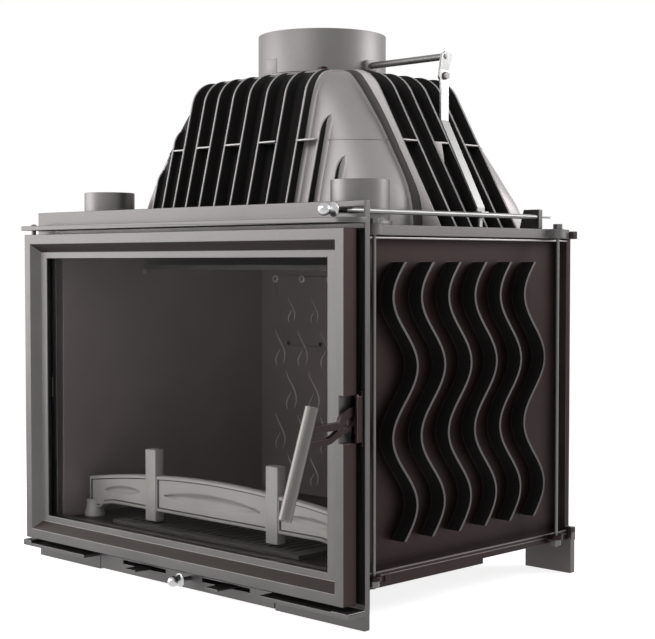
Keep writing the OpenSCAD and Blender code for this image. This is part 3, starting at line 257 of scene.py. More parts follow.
# Door's side faces and latch notch, painted dark brown as shade
flank_shade_iron = cast_iron("flank_shade_iron", 0.028, (1.0, 0.60, 0.60), edge=0.2, metal=0.8, rough=0.42)
hearth_iron = cast_iron("hearth_iron", 0.065, (1.0, 0.94, 0.92), edge=0.16, metal=0.5, rough=0.5)
# Flame relief much lighter than the fire back: a painted highlight on the raised strokes
relief_highlight_iron = cast_iron("relief_highlight_iron", 0.55, (1.0, 0.95, 0.93), edge=0.3, metal=0.6, rough=0.4)
# Painted shade in the groove of the log guard
groove_shade_iron = cast_iron("groove_shade_iron", 0.045, (1.0, 0.96, 0.95), edge=0.06, metal=0.2, rough=0.6)
guard_iron = cast_iron("guard_iron", 0.32, (1.0, 0.985, 0.98), edge=0.45, metal=0.3, rough=0.5)
collar_iron = cast_iron("collar_iron", 0.17, CAST_TINT, edge=0.35, metal=0.8, rough=0.48, grain=0.5)
bracket_iron = cast_iron("bracket_iron", 0.022, (1.0, 0.62, 0.60), edge=0.30, metal=0.8, rough=0.4)
zinc_strip = sheet_steel("zinc_strip", 0.31, ZINC_TINT, edge=0.8, metal=0.75, rough=0.36, streak=(1.0, 1.0, 0.08))
crank_steel = sheet_steel("crank_steel", 0.17, ZINC_TINT, edge=0.8, metal=0.75, rough=0.36,
                          streak=(1.0, 1.0, 0.08))
zinc_rod = sheet_steel("zinc_rod", 0.19, ZINC_TINT, edge=0.6, metal=0.8, rough=0.34, streak=(1.0, 0.06, 1.0))
dull_bolt = sheet_steel("dull_bolt", 0.16, (1.0, 0.97, 0.95), edge=0.4, metal=0.6, rough=0.42)
black_sheet = sheet_steel("black_sheet", 0.07, (1.0, 0.95, 0.93), edge=0.2, metal=0.3, rough=0.45)
brushed_grip = sheet_steel("brushed_grip", 0.13, (1.0, 0.93, 0.90), edge=0.7, metal=0.9, rough=0.34,
                           streak=(1.0, 0.35, 0.06), bump_scale=2.0)
chrome = chrome_plate("chrome")
pane = ceramic_glass("pane")
gasket = rope_gasket("gasket")

FINISH = {
    front_iron: ["facade_frame", "air_inlet_cover", "door_frame", "rod_bracket"],
    body_iron: ["base_plate", "side_panel_left", "side_panel_right"],
    plate_iron: ["top_plate"],
    leg_iron: ["back_panel"],
    hood_iron: ["smoke_hood"],
    hearth_iron: ["grate", "baffle_plate", "damper_plate"],
    wall_iron: ["fire_back"],
    guard_iron: ["log_guard"],
    collar_iron: ["flue_collar"],
    spigot_iron: ["air_spigot_left", "air_spigot_right"],
    bracket_iron: ["handle_bracket", "latch_keeper", "handle_screw", "collar_bolts"],
    zinc_strip: ["damper_link"],
    crank_steel: ["damper_crank"],
    zinc_rod: ["pull_rod", "air_slide_rod"],
    dull_bolt: ["damper_shaft", "tie_rods", "tie_rod_nuts", "crank_bolts", "hinge_pin_upper",
                "hinge_pin_lower", "keeper_screws", "clip_screws", "damper_screws", "glass_clips"],
    black_sheet: ["ash_box", "ash_pan", "air_wash_duct", "air_flap"],
    brushed_grip: ["handle_grip"],
    chrome: ["pull_knob", "air_slide_knob"],
    pane: ["door_glass"],
    gasket: ["glass_gasket", "door_gasket"],
}
for material, names in FINISH.items():
    for name in names:
        mesh = nodes[name].data
        if not mesh.materials:
            mesh.materials.append(material)
        for index in range(len(mesh.materials)):
            mesh.materials[index] = material

# Pieces that ride with the CAD nodes

BODY_NAMES = {empty: name for name, empty in frame["bodies"].items()}

# Edges that turn more than this are rounded on the copies of the castings
ROUNDED_ANGLE, ROUNDED_SEGMENTS = 30, 2
# Points of a copy that are closer than this, in metres, are one
SAME_POINT = 2e-6
# Faces of a new shape that meet at more than this many degrees keep a sharp edge between them
SHARP_ANGLE = 38


def body_name(node):
    return BODY_NAMES[nodes[node].parent]


def show(name, mesh, node, covers=True):
    """A new object that rides with a CAD node and, if it covers the node, stands for it."""
    piece = bpy.data.objects.new(name, mesh)
    bpy.context.scene.collection.objects.link(piece)
    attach(piece, body_name(node))
    if covers:
        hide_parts(node)
    return piece


def settle(shape, name, materials, node, covers=True, sharp=SHARP_ANGLE):
    """Turns a shape into a shown object with smooth faces and sharp corners."""
    bmesh.ops.recalc_face_normals(shape, faces=shape.faces)
    mesh = bpy.data.meshes.new(name)
    shape.to_mesh(mesh)
    shape.free()
    for material in materials:
        mesh.materials.append(material)
    for polygon in mesh.polygons:
        polygon.use_smooth = True
    mesh.set_sharp_from_angle(angle=math.radians(sharp))
    return show(name, mesh, node, covers)


def soften(node, width, cuts):
    """A copy of a CAD node with rounded edges. The cuts divide its faces, so that a finish can end there."""
    mesh = bpy.data.meshes.new(node + "_cast")
    shape = bmesh.new()
    shape.from_mesh(nodes[node].data)
    bmesh.ops.remove_doubles(shape, verts=shape.verts, dist=SAME_POINT)
    for place, normal in cuts:
        everything = shape.verts[:] + shape.edges[:] + shape.faces[:]
        bmesh.ops.bisect_plane(shape, geom=everything, plane_co=place, plane_no=normal)
    shape.to_mesh(mesh)
    shape.free()
    mesh.materials.append(nodes[node].data.materials[0])
    piece = show(node + "_cast", mesh, node)
    bevel = piece.modifiers.new("edges", "BEVEL")
    bevel.width = width * MM
    bevel.segments = ROUNDED_SEGMENTS
    bevel.limit_method = "ANGLE"
    bevel.angle_limit = math.radians(ROUNDED_ANGLE)
    bevel.use_clamp_overlap = False
    for polygon in mesh.polygons:
        polygon.use_smooth = True
    piece.modifiers.new("even_shading", "WEIGHTED_NORMAL")
    return piece


def paint(piece, material, test):
    """Gives a second material to the faces whose middle and normal pass the test."""
    piece.data.materials.append(material)
    index = len(piece.data.materials) - 1
    for polygon in piece.data.polygons:
        if test(*level_of(polygon.center), polygon.normal):
            polygon.material_index = index


# Shapes, all in millimetres


def between(value, keys, values):
    """Linear interpolation in a rising list of keys, held at both ends."""
    if value <= keys[0]:
        return values[0]
    for i in range(1, len(keys)):
        if value <= keys[i]:
            share = (value - keys[i - 1]) / max(keys[i] - keys[i - 1], 1e-9)
            return values[i - 1] + (values[i] - values[i - 1]) * share
    return values[-1]


def loft(shape, rings, close_ends=True, second=(), third=()):
    """Joins closed rings of equal length with quads, some columns in the second or the third material."""
    rows = [[shape.verts.new(point) for point in ring] for ring in rings]
    for low, high in zip(rows, rows[1:]):
        count = len(low)
        for i in range(count):
            j = (i + 1) % count
            face = shape.faces.new((low[i], low[j], high[j], high[i]))
            face.material_index = 1 if i in second else 2 if i in third else 0
    if close_ends:
        shape.faces.new(list(reversed(rows[0])))
        shape.faces.new(rows[-1])
    return rows


def rounded_block(shape, low, high, radius):
    """A block between two corners with rounded edges."""
    made = bmesh.ops.create_cube(shape, size=1.0)["verts"]
    for vert in made:
        vert.co = at(*(low[k] + (high[k] - low[k]) * (vert.co[k] + 0.5) for k in range(3)))
    edges = list(dict.fromkeys(edge for vert in made for edge in vert.link_edges))
    bmesh.ops.bevel(shape, geom=edges, offset=radius * MM, segments=2, affect="EDGES", profile=0.5)


def revolve(shape, centre, profile, steps=96, axis="Z"):
    """A closed profile of (radius, height) turned around an upright axis, or around one that points forwards."""
    columns = []
    for i in range(steps):
        a = 2 * math.pi * i / steps
        c, s = math.cos(a), math.sin(a)
        if axis == "Z":
            ring = [at(centre[0] + r * c, centre[1] + r * s, centre[2] + h) for r, h in profile]
        else:
            ring = [at(centre[0] + r * c, centre[1] - h, centre[2] + r * s) for r, h in profile]
        columns.append([shape.verts.new(point) for point in ring])
    count = len(profile)
    for i in range(steps):
        near, far = columns[i], columns[(i + 1) % steps]
        for k in range(count):
            m = (k + 1) % count
            shape.faces.new((near[k], far[k], far[m], near[m]))


# The smoke hood, one thin casting with ribs that grow out of it

TOP = 517.7
HOOD_W, HOOD_D, HOOD_H = 540.0, 378.0, 230.3
HOOD_FRONT, FLUE_Y, FLUE_R = 92.0, 283.9, 92.9
HOOD_WALL, HOOD_ROOF, HOOD_BOW = 7.0, 10.0, 0.0004
# Height, inset at the sides, at the front and at the rear, and corner radius
HOOD_LEVELS = ((0, 0, 0, 0, 66), (27.3, 2, 5, 4, 66), (123.3, 47.3, 27.3, 30, 60), (190, 91, 43.5, 46, 56),
               (212, 108, 52, 54, 54), (224, 119, 61, 62, 52), (230.3, 134, 74, 76, 48))
# Points on half an outline: along the front, around its corner, along the side and around the rear corner
OUTLINE_STEPS = (14, 12, 8, 12)
# The rear corners are tighter at the foot of the hood than at its crown: heights and radii
REAR_HEIGHTS, REAR_RADII = (0.0, 17.0, 60.0, 123.0), (26.0, 40.0, 62.0, 60.0)
# Heights of the rings of the outer skin below and above the seam, and of the inner skin from the crown down
BELOW_SEAM = (0, 4, 10, 18, 27.3, 40, 54, 68, 82, 96, 110, 120, 122.4)
ABOVE_SEAM = (128, 138, 148, 158, 168, 178, 186, 193, 199, 205, 210, 214, 218, 221, 223.6, 225.8, 227.6, 228.9,
              229.8, 230.3)
INNER_SKIN = (215, 210, 200, 185, 165, 140, 115, 90, 60, 30, 12, 0)
# The seam's thin bead, as heights and how far they stand out
SEAM_BEAD = ((122.9, 1.0), (124.3, 1.0), (124.8, 0.0))
SEAM_H = 123.6

FIN_T = 3.5
# Crest lines of the fins: reach in front of the foot, slope, bow, and the radius that rounds them into the crown
FRONT_PITCH, FRONT_REACH, FRONT_SLOPE, FRONT_BOW = 35.2, 26.2, 0.241, 0.000722
FRONT_ROUND, SHORT_ROUND = 47.5, 37.0
SIDE_PITCH, SIDE_REACH, SIDE_SLOPE, SIDE_ROUND = 34.35, 43.7, 0.57, 60.0
SIDE_Y = [FLUE_Y + (j - 2.5) * SIDE_PITCH for j in range(6)]
# How far the fins end below the crown, and the two outer pairs at the front further down
FIN_DROP, SHORT_DROPS = 1, (127, 68)
# Widest fillet of a fin, and of the front flank of the first side fin
FILLET, FIRST_FILLET = 5.0, 12.0
# Columns of a fin's rings that make its two flanks, painted dark as shade, and those of the wide fillet, a
# lighter painted shade
SHADED_FLANKS, SHADED_VALLEY = (4, 9), (2, 3)
# Where the skin between the fins gets painted shade: heights above the top plate, zones at the front and at
# the sides, and how far out from the skin a face still counts as the floor of a gap
GAP_LOW, GAP_HIGH = 0.5, 226
FRONT_GAP_X, FRONT_GAP_Y = (-196, 120), 190
SIDE_GAP_X, SIDE_GAP_Y = 120, (213, 372)
GAP_FLOOR = 5.2

WEB_T, WEB_DEPTH, WEB_RADIUS = 2.5, 60, 0.7
# How far the webs stay behind the crest lines, at the front and at the sides
FRONT_WEB_BACK, SIDE_WEB_BACK = 0.6, 1.2
GUSSET_W, GUSSET_H, GUSSET_T = 17.0, 29.0, 3


def hood_level(height):
    """The hood's insets and corner radius at a height, on a smooth curve through the levels."""
    knots = HOOD_LEVELS
    height = min(max(height, 0.0), knots[-1][0])
    last = len(knots) - 1
    i = max(k for k in range(last) if knots[k][0] <= height)
    h = knots[i + 1][0] - knots[i][0]
    t = (height - knots[i][0]) / h

    def slope(k, column):
        if k == 0 or k == last:
            j = min(k, last - 1)
            return (knots[j + 1][column] - knots[j][column]) / (knots[j + 1][0] - knots[j][0])
        before = (knots[k][column] - knots[k - 1][column]) / (knots[k][0] - knots[k - 1][0])
        after = (knots[k + 1][column] - knots[k][column]) / (knots[k + 1][0] - knots[k][0])
        return 0.0 if before * after <= 0 else 2 * before * after / (before + after)

    values = []
    for column in range(1, 5):
        low, high = knots[i][column], knots[i + 1][column]
        values.append(low * (1 + 2 * t) * (1 - t) ** 2 + high * t * t * (3 - 2 * t)
                      + slope(i, column) * h * t * (1 - t) ** 2 - slope(i + 1, column) * h * t * t * (1 - t))
    return values


def hood_half(height, margin=0.0):
    """Right half of the hood's outline at a height, from the middle of the front to the middle of the rear."""
    along_front, around_front, along_side, around_rear = OUTLINE_STEPS
    side, front, rear, corner = hood_level(height)
    w = HOOD_W - 2 * side + 2 * margin
    d = HOOD_D - front - rear + 2 * margin
    r = corner + margin
    y0 = HOOD_FRONT + front - margin
    lean = math.atan(2 * HOOD_BOW * (w / 2 - r))
    touch = w / 2 - r + r * math.sin(lean)
    points = [(touch * i / along_front, y0 + HOOD_BOW * (touch * i / along_front) ** 2)
              for i in range(along_front)]
    y_bow = y0 + HOOD_BOW * touch ** 2
    for i in range(around_front + 1):
        a = (math.pi / 2 - lean) * (i / around_front - 1)
        points.append((w / 2 - r + r * math.cos(a), y_bow + r * (math.cos(lean) + math.sin(a))))
    r = min(r, between(height, REAR_HEIGHTS, REAR_RADII) + margin)
    y1 = y0 + d - r
    start = points[-1]
    for i in range(1, along_side):
        points.append((w / 2, start[1] + (y1 - start[1]) * i / along_side))
    for i in range(around_rear + 1):
        a = math.pi / 2 * i / around_rear
        points.append((w / 2 - r + r * math.cos(a), y1 + r * math.sin(a)))
    points.append((0.0, y0 + d))
    return points


def hood_ring(height, margin=0.0):
    right = hood_half(height, margin)
    return right + [(-x, y) for x, y in right[-2:0:-1]]


def hood_rings(levels):
    """Rings of the hood at pairs of a height above the top plate and a margin."""
    return [[at(x, y, TOP + h) for x, y in hood_ring(h, margin)] for h, margin in levels]


def hood_reach(kind, across, height):
    """How far the hood's skin reaches outwards: forwards for kind front, sideways for kind side."""
    half = hood_half(height)
    along_front, around_front = OUTLINE_STEPS[:2]
    if kind == "front":
        part = half[:along_front + around_front + 1]
        return -between(abs(across), [p[0] for p in part], [p[1] for p in part])
    part = half[along_front:]
    return between(across, [p[1] for p in part], [p[0] for p in part])


def front_foot(x):
    """Depth of the foot of the crest line of a front fin."""
    return HOOD_FRONT - FRONT_REACH + FRONT_BOW * x * x


def front_fin_x(i):
    return (i - 5.5) * FRONT_PITCH


def fin_rings(kind, sign, across, foot, slope, top, round_r, widest=FILLET):
    """Rings of one fin from its foot to its crest, with fillets where it grows out of the hood."""
    lean = math.atan(slope)
    centre_z = top - round_r
    touch_z = centre_z + round_r * math.sin(lean)
    touch = foot + slope * (touch_z - TOP)
    centre = touch + round_r * math.cos(lean)
    track = [(foot + slope * (z - TOP), z) for z in [TOP + (touch_z - TOP) * i / 14 for i in range(14)]]
    for i in range(19):
        a = lean + (math.pi / 2 - lean) * i / 18
        track.append((centre - round_r * math.cos(a), centre_z + round_r * math.sin(a)))
    rings = []
    for tip, z in track:
        tip_out = -tip
        skin = hood_reach(kind, across, z - TOP)
        free = max(tip_out - skin, 0.2)
        fillets = [max(min(size, 0.5 * free), 0.05) for size in (widest, FILLET)]
        near_top = min(max((z - (top - 2.5)) / 2.5, 0.0), 1.0)
        half = FIN_T / 2 * math.sqrt(max(1 - near_top ** 2, 0.04))
        root = half + 0.5
        tip_half = max(half - 0.15, 0.3)
        tip_r = min(tip_half, 0.45 * free)
        before, after = ([(-root - f, -2.5), (-root - f, 0.0), (-root - 0.55 * f, 0.09 * f),
                          (-root - 0.2 * f, 0.38 * f), (-root, f)] for f in fillets)
        bent = [(-tip_half, tip_out - skin - tip_r), (-0.72 * tip_half, tip_out - skin - 0.3 * tip_r),
                (0.0, tip_out - skin)]
        left = before + bent
        right = [(-s, o) for s, o in reversed((after + bent)[:-1])]
        ring = []
        for s, o in left + right:
            beside_root = abs(s) > root + 0.01
            out = o + (hood_reach(kind, across + s, z - TOP) if beside_root else skin)
            ring.append(at(across + s, -out, z) if kind == "front" else at(sign * out, across + s, z))
        rings.append(ring)
    return rings


def in_hood_gap(x, y, z):
    """True on the skin at the bottom of the deep gaps between the fins, which gets painted shade."""
    h = z - TOP
    if not GAP_LOW < h < GAP_HIGH:
        return False
    if FRONT_GAP_X[0] < x < FRONT_GAP_X[1] and y < FRONT_GAP_Y:
        out, reach = -y, hood_reach("front", x, h)
        free = -(front_foot(x) + FRONT_SLOPE * h) - reach
    elif SIDE_GAP_Y[0] < y < SIDE_GAP_Y[1] and abs(x) > SIDE_GAP_X:
        out, reach = abs(x), hood_reach("side", y, h)
        free = HOOD_W / 2 + SIDE_REACH - SIDE_SLOPE * h - reach
    else:
        return False
    return -1.0 < out - reach < min(GAP_FLOOR, 0.4 * free)


def hood_skin(shape):
    """The outer skin with its seam bead, the flue hole, the roof and the inner skin, closed at the foot."""
    outer = hood_rings([(h, 0.0) for h in BELOW_SEAM] + list(SEAM_BEAD) + [(h, 0.0) for h in ABOVE_SEAM])
    angles = [math.atan2(y - FLUE_Y, x) for x, y in hood_ring(HOOD_H)]
    hole = [(FLUE_R * math.cos(a), FLUE_Y + FLUE_R * math.sin(a)) for a in angles]
    inside = [[at(x, y, TOP + h) for x, y in hood_ring(min(h + HOOD_ROOF, HOOD_H), -HOOD_WALL)]
              for h in INNER_SKIN]
    roof = [at(x, y, TOP + HOOD_H - HOOD_ROOF) for x, y in hood_ring(HOOD_H, -HOOD_WALL)]
    rings = outer + [[at(x, y, TOP + HOOD_H) for x, y in hole],
                     [at(x, y, TOP + HOOD_H - HOOD_ROOF) for x, y in hole], roof] + inside
    rows = loft(shape, rings, close_ends=False)
    first, last = rows[0], rows[-1]
    for i in range(len(first)):
        j = (i + 1) % len(first)
        shape.faces.new((last[i], last[j], first[j], first[i]))


def hood_fins(shape):
    """Twelve fins at the front, the outer ones shorter, and six at each side."""
    for i in range(12):
        x = front_fin_x(i)
        rank = min(i, 11 - i)
        short = rank < 2
        top = TOP + HOOD_H - (SHORT_DROPS[rank] if short else FIN_DROP)
        round_r = SHORT_ROUND if short else FRONT_ROUND
        rings = fin_rings("front", 1, x, front_foot(x), FRONT_SLOPE, top, round_r)
        # The flanks of each fin get painted shade
        loft(shape, rings, second=SHADED_FLANKS)
    foot, top = -HOOD_W / 2 - SIDE_REACH, TOP + HOOD_H - FIN_DROP
    for sign in (-1, 1):
        for y in SIDE_Y:
            first = y == SIDE_Y[0]
            widest = FIRST_FILLET if first else FILLET
            rings = fin_rings("side", sign, y, foot, SIDE_SLOPE, top, SIDE_ROUND, widest)
            # The first side fin keeps its front flank light and gets a lighter painted shade on its wide fillet
            loft(shape, rings, second=SHADED_FLANKS[1:] if first else SHADED_FLANKS, third=SHADED_VALLEY if first else ())


def hood_webs(shape):
    """Webs that tie the fins in pairs at the seam, and one gusset below a web on the right."""
    z = TOP + SEAM_H
    low, high = z - WEB_T / 2, z + WEB_T / 2
    for i in (1, 3, 5, 7, 9):
        x0, x1 = front_fin_x(i), front_fin_x(i + 1)
        rounded_block(shape, (x0, front_foot(x0) + FRONT_SLOPE * SEAM_H + FRONT_WEB_BACK, low),
                      (x1, HOOD_FRONT + WEB_DEPTH, high), WEB_RADIUS)
    edge = HOOD_W / 2 + SIDE_REACH - SIDE_SLOPE * SEAM_H - SIDE_WEB_BACK
    for j in (0, 2, 4):
        y0, y1 = SIDE_Y[j], SIDE_Y[j + 1]
        rounded_block(shape, (edge - WEB_DEPTH, y0, low), (edge, y1, high), WEB_RADIUS)
        rounded_block(shape, (-edge, y0, low), (WEB_DEPTH - edge, y1, high), WEB_RADIUS)
    y = SIDE_Y[2]
    foot = edge + SIDE_SLOPE * GUSSET_H
    corners = [(edge, y, z), (edge, y + GUSSET_W, z), (foot, y + FIN_T, z - GUSSET_H), (foot, y, z - GUSSET_H)]
    outer_face = [shape.verts.new(at(*corner)) for corner in corners]
    inner_face = [shape.verts.new(at(corner[0] - GUSSET_T, corner[1], corner[2])) for corner in corners]
    shape.faces.new(list(reversed(outer_face)))
    shape.faces.new(inner_face)
    for i in range(4):
        j = (i + 1) % 4
        shape.faces.new((outer_face[i], outer_face[j], inner_face[j], inner_face[i]))


def make_hood():
    shape = bmesh.new()
    hood_skin(shape)
    hood_fins(shape)
    hood_webs(shape)
    hood = settle(shape, "smoke_hood_casting", [hood_iron, painted_shade_iron, valley_shade_iron], "smoke_hood")
    # Painted shade on the skin at the bottom of the gaps between the fins
    for polygon in hood.data.polygons:
        if in_hood_gap(*level_of(polygon.center)):
            polygon.material_index = 1


# The collar and the knobs

COLLAR_PROFILE = ((FLUE_R, 0.0), (FLUE_R, 68.8), (93.5, 69.4), (97.9, 69.4), (98.6, 69.1), (98.9, 68.4),
                  (98.9, 8.0), (99.2, 6.4), (100.4, 5.4), (103.2, 5.0), (103.9, 4.3), (103.9, 0.0))
EAR_PROFILE = ((3.05, 0.0), (3.05, 5.0), (8.4, 5.0), (9.0, 4.4), (9.0, 0.0))
EAR_ANGLES, EAR_REACH = (135, 315), 110


def make_collar():
    """The collar with its bolt ears, the two bosses of the damper's shaft and a pad at the front."""
    shape = bmesh.new()
    base = TOP + HOOD_H
    revolve(shape, (0.0, FLUE_Y, base), COLLAR_PROFILE)
    for angle in EAR_ANGLES:
        a = math.radians(angle)
        ear = (EAR_REACH * math.cos(a), FLUE_Y + EAR_REACH * math.sin(a), base)
        revolve(shape, ear, EAR_PROFILE, 32)
    for side in (-1, 1):
        x0, x1 = sorted((side * 95.9, side * 105.9))
        rounded_block(shape, (x0, FLUE_Y - 11, base + 8.4), (x1, FLUE_Y + 11, base + 24.4), 1.6)
    rounded_block(shape, (-22, FLUE_Y - 99.7, base + 4), (2, FLUE_Y - 92, base + 29), 1.5)
    settle(shape, "flue_collar_casting", [collar_iron], "flue_collar")


def make_knob(name, x, z, ball_d, ball_y, bell_d, bell_y):
    """A ball on a flared bell, turned in one piece, along the rod that it is screwed on."""
    shape = bmesh.new()
    neck, ball_r, bell_r = ball_d * 0.32, ball_d / 2, bell_d / 2
    profile = [(0.01, bell_y), (bell_r - 0.7, bell_y), (bell_r, bell_y + 0.7), (bell_r, bell_y + 1.8)]
    for i in range(1, 10):
        a = math.pi / 2 * i / 10
        profile.append((neck + (bell_r - neck) * (1 - math.sin(a)),
                        bell_y + 2 + (ball_y - bell_y - 4) * (1 - math.cos(a))))
    start = math.acos(neck / ball_r)
    for i in range(17):
        a = -start + (math.pi / 2 + start) * i / 16
        profile.append((max(ball_r * math.cos(a), 0.01), ball_y + ball_r * math.sin(a)))
    revolve(shape, (x, 0.0, z), profile, 48, axis="Y")
    settle(shape, name + "_turned", [chrome], name, sharp=50)


# The log guard

POST_X, GUARD_END = 133.7, 290.0
GUARD_FRONT, GUARD_REAR = 49.0, 61.0
# Depth of the chamfer at the very edge, of the field inside the border, and of the hollow in the field
CHAMFER_DEPTH, FIELD_DEPTH, HOLLOW_DEPTH = 0.9, 2.2, 5.5
BORDER_W = 5.5
# Ring of faces, counted from the edge, that is the step between the border and the field, painted dark as shade
GROOVE_RING = 2
# Ends of each bay, and its hollow: middle, half length, half height and how far it sits below the bay's middle
GUARD_BAYS = ((-124.0, 124.0, (0.0, 106.0, 9.5, 2.0)), (-GUARD_END, -143.0, (-208.0, 46.0, 6.5, 1.0)),
              (143.0, GUARD_END, (208.0, 46.0, 6.5, 1.0)))
FOOT_PROFILE = ((0.01, 0.0), (16.0, 0.0), (16.0, 3.0), (14.6, 8.0), (13.0, 15.0), (12.8, 21.0), (13.0, 25.8),
                (0.01, 25.8))


def guard_top(x):
    x = abs(x)
    if x < POST_X:
        return 149.0 - 5.0 * (x / POST_X) ** 2
    return 144.0 - 16.0 * ((x - POST_X) / (GUARD_END - POST_X)) ** 1.4


def guard_bottom(x):
    return between(abs(x), [228.0, 254.0, 264.0], [91.5, 87.5, 79.5])


def steps_along(length, count):
    """Stations along a bay, close together where the raised border is."""
    near = [0.0, 1.0, 4.6, 6.4]
    inner = [8.0 + (length - 16.0) * i / count for i in range(count + 1)]
    return near + inner + [length - n for n in reversed(near)]


def bay_depth(edge, x, rise, hollow):
    """How far the face is sunk at x, edge inwards from the border and rise above the middle of the bay."""
    middle, half_length, half_height, lower = hollow
    depth = CHAMFER_DEPTH if edge < 0.5 else FIELD_DEPTH if edge > BORDER_W else 0.0
    reach = 1 - ((x - middle) / half_length) ** 2
    if reach > 0:
        off = abs(rise + lower) / (half_height * reach)
        if off < 1:
            depth += HOLLOW_DEPTH * (1 - off * off)
    return depth


def guard_bay(shape, x0, x1, hollow):
    """One bay of the log guard: a raised border, a sunk field and a spindle-shaped hollow."""
    front_rows, rear_rows = [], []
    for rows in (front_rows, rear_rows):
        for x in (x0 + s for s in steps_along(x1 - x0, 46)):
            low, high = guard_bottom(x), guard_top(x)
            column = []
            for s in steps_along(high - low, 18):
                z = low + s
                y = GUARD_REAR
                if rows is front_rows:
                    edge = min(s, high - low - s, x - x0, x1 - x)
                    y = GUARD_FRONT + bay_depth(edge, x, z - (low + high) / 2, hollow)
                column.append(shape.verts.new(at(x, y, z)))
            rows.append(column)
    last_i, last_j = len(front_rows) - 1, len(front_rows[0]) - 1
    for i in range(last_i):
        for j in range(last_j):
            a, b = front_rows[i], front_rows[i + 1]
            face = shape.faces.new((a[j], b[j], b[j + 1], a[j + 1]))
            # The ring of the step gets painted shade
            ring = min(i, last_i - 1 - i, j, last_j - 1 - j)
            face.material_index = 1 if ring == GROOVE_RING else 0
            a, b = rear_rows[i], rear_rows[i + 1]
            shape.faces.new((a[j], a[j + 1], b[j + 1], b[j]))
    for i in range(last_i):
        for j in (0, last_j):
            shape.faces.new((front_rows[i][j], front_rows[i + 1][j], rear_rows[i + 1][j], rear_rows[i][j]))
    for j in range(last_j):
        for i in (0, last_i):
            shape.faces.new((front_rows[i][j], front_rows[i][j + 1], rear_rows[i][j + 1], rear_rows[i][j]))


def make_guard():
    """Three bays between two posts, on two turned feet."""
    shape = bmesh.new()
    for x0, x1, hollow in GUARD_BAYS:
        guard_bay(shape, x0, x1, hollow)
    for side in (-1, 1):
        x = side * POST_X
        rounded_block(shape, (x - 12, 47, 75.8), (x + 12, 64, 184.5), 1.4)
        revolve(shape, (side * 284.0, 55.0, 66.2), FOOT_PROFILE, 40)
    settle(shape, "log_guard_casting", [guard_iron, groove_shade_iron], "log_guard", sharp=50)


# The relief of the fire back

RELIEF_Y = 437.0
BOSS_PROFILE = ((0.01, -0.6), (7.0, -0.6), (7.0, 0.4), (6.2, 2.0), (4.8, 2.6), (3.4, 2.0), (2.6, 0.9),
                (0.01, 0.7))
BOSS_PITCH, BOSS_Z = 66.5, 440.0
# Rows of flames: height, size, and shift in pitches
FLAME_ROWS = ((366.0, 44.0, 0.5), (290.0, 62.0, 0.0), (214.0, 66.0, 0.5), (142.0, 62.0, 0.0), (84.0, 48.0, 0.5))
FLAME_PITCH, FLAME_END = 56.0, 275


def stroke(shape, points, width, height):
    """A tapered half-round ridge along points (x, z) on the fire back."""
    rings = []
    count = len(points)
    for i, (x, z) in enumerate(points):
        before, after = points[max(i - 1, 0)], points[min(i + 1, count - 1)]
        dx, dz = after[0] - before[0], after[1] - before[1]
        size = math.hypot(dx, dz)
        nx, nz = dz / size, -dx / size
        swell = max(math.sin(math.pi * (i + 0.5) / count), 0.08) ** 0.6
        ring = [at(x - nx * width / 2, RELIEF_Y + 0.6, z - nz * width / 2)]
        for k in range(7):
            a = math.pi * k / 6
            side = -math.cos(a) * width / 2 * swell
            ring.append(at(x + nx * side, RELIEF_Y - height * swell * math.sin(a), z + nz * side))
        ring.append(at(x + nx * width / 2, RELIEF_Y + 0.6, z + nz * width / 2))
        rings.append(ring)
    loft(shape, rings)


def flame(shape, x, z, size):
    """Two strokes that lean together like a tongue of fire."""
    tall, low = [], []
    for i in range(17):
        t = i / 16
        right = 0.02 + 0.16 * math.sin(math.pi * (0.1 + 1.35 * t)) - 0.10 * t
        left = 0.17 + 0.07 * math.sin(math.pi * (1.4 * t)) - 0.06 * t
        tall.append((x + size * right, z + size * t))
        low.append((x - size * left, z + size * (0.5 * t - 0.05)))
    stroke(shape, tall, 2.6, 1.7)
    stroke(shape, low, 2.3, 1.5)


def make_relief():
    shape = bmesh.new()
    for i in range(-4, 5):
        revolve(shape, (i * BOSS_PITCH, RELIEF_Y, BOSS_Z), BOSS_PROFILE, 28, axis="Y")
    for z, size, shift in FLAME_ROWS:
        for i in range(-5, 5):
            x = (i + 0.5 + shift) * FLAME_PITCH
            if abs(x) < FLAME_END:
                flame(shape, x, z, size)
    # The raised strokes carry a painted highlight
    settle(shape, "flame_relief", [relief_highlight_iron], "fire_back", covers=False, sharp=60)


# The other castings and cut pieces, as softened copies with second finishes, mostly painted shade and highlights

# Width of the rounded edges
EDGE_WIDTHS = {
    "facade_frame": 0.9, "air_inlet_cover": 0.6, "base_plate": 0.9, "side_panel_left": 0.4,
    "side_panel_right": 0.4, "back_panel": 1.0, "top_plate": 1.0, "rod_bracket": 0.8, "air_spigot_left": 0.8,
    "air_spigot_right": 0.8, "handle_bracket": 0.6, "latch_keeper": 0.5, "baffle_plate": 0.8, "grate": 0.7,
    "damper_plate": 0.7, "door_frame": 1.1, "fire_back": 0.8, "hinge_pin_upper": 0.4, "hinge_pin_lower": 0.6,
    "tie_rods": 0.5, "tie_rod_nuts": 0.6, "collar_bolts": 0.5, "crank_bolts": 0.4, "pull_rod": 0.4,
    "ash_pan": 0.4, "ash_box": 0.5, "glass_clips": 0.4,
}
# Where the finishes end: the inside, the foot and the tips of the wavy fins, and their lowest and highest part.
# Between foot and tips the flanks get painted shade, and the tips get a painted highlight
PANEL_INSIDE_X, FIN_FOOT_X, FIN_TIP_X = 305, 309, 329
FIN_LOW_Z, FIN_HIGH_Z = 90, 475
# Bounds of painted shade: the door's side faces, the facade beside the door, and the ledge tops below this height
DOOR_EDGE_X, BESIDE_DOOR_X, LEDGE_Z = 347, 300, 40
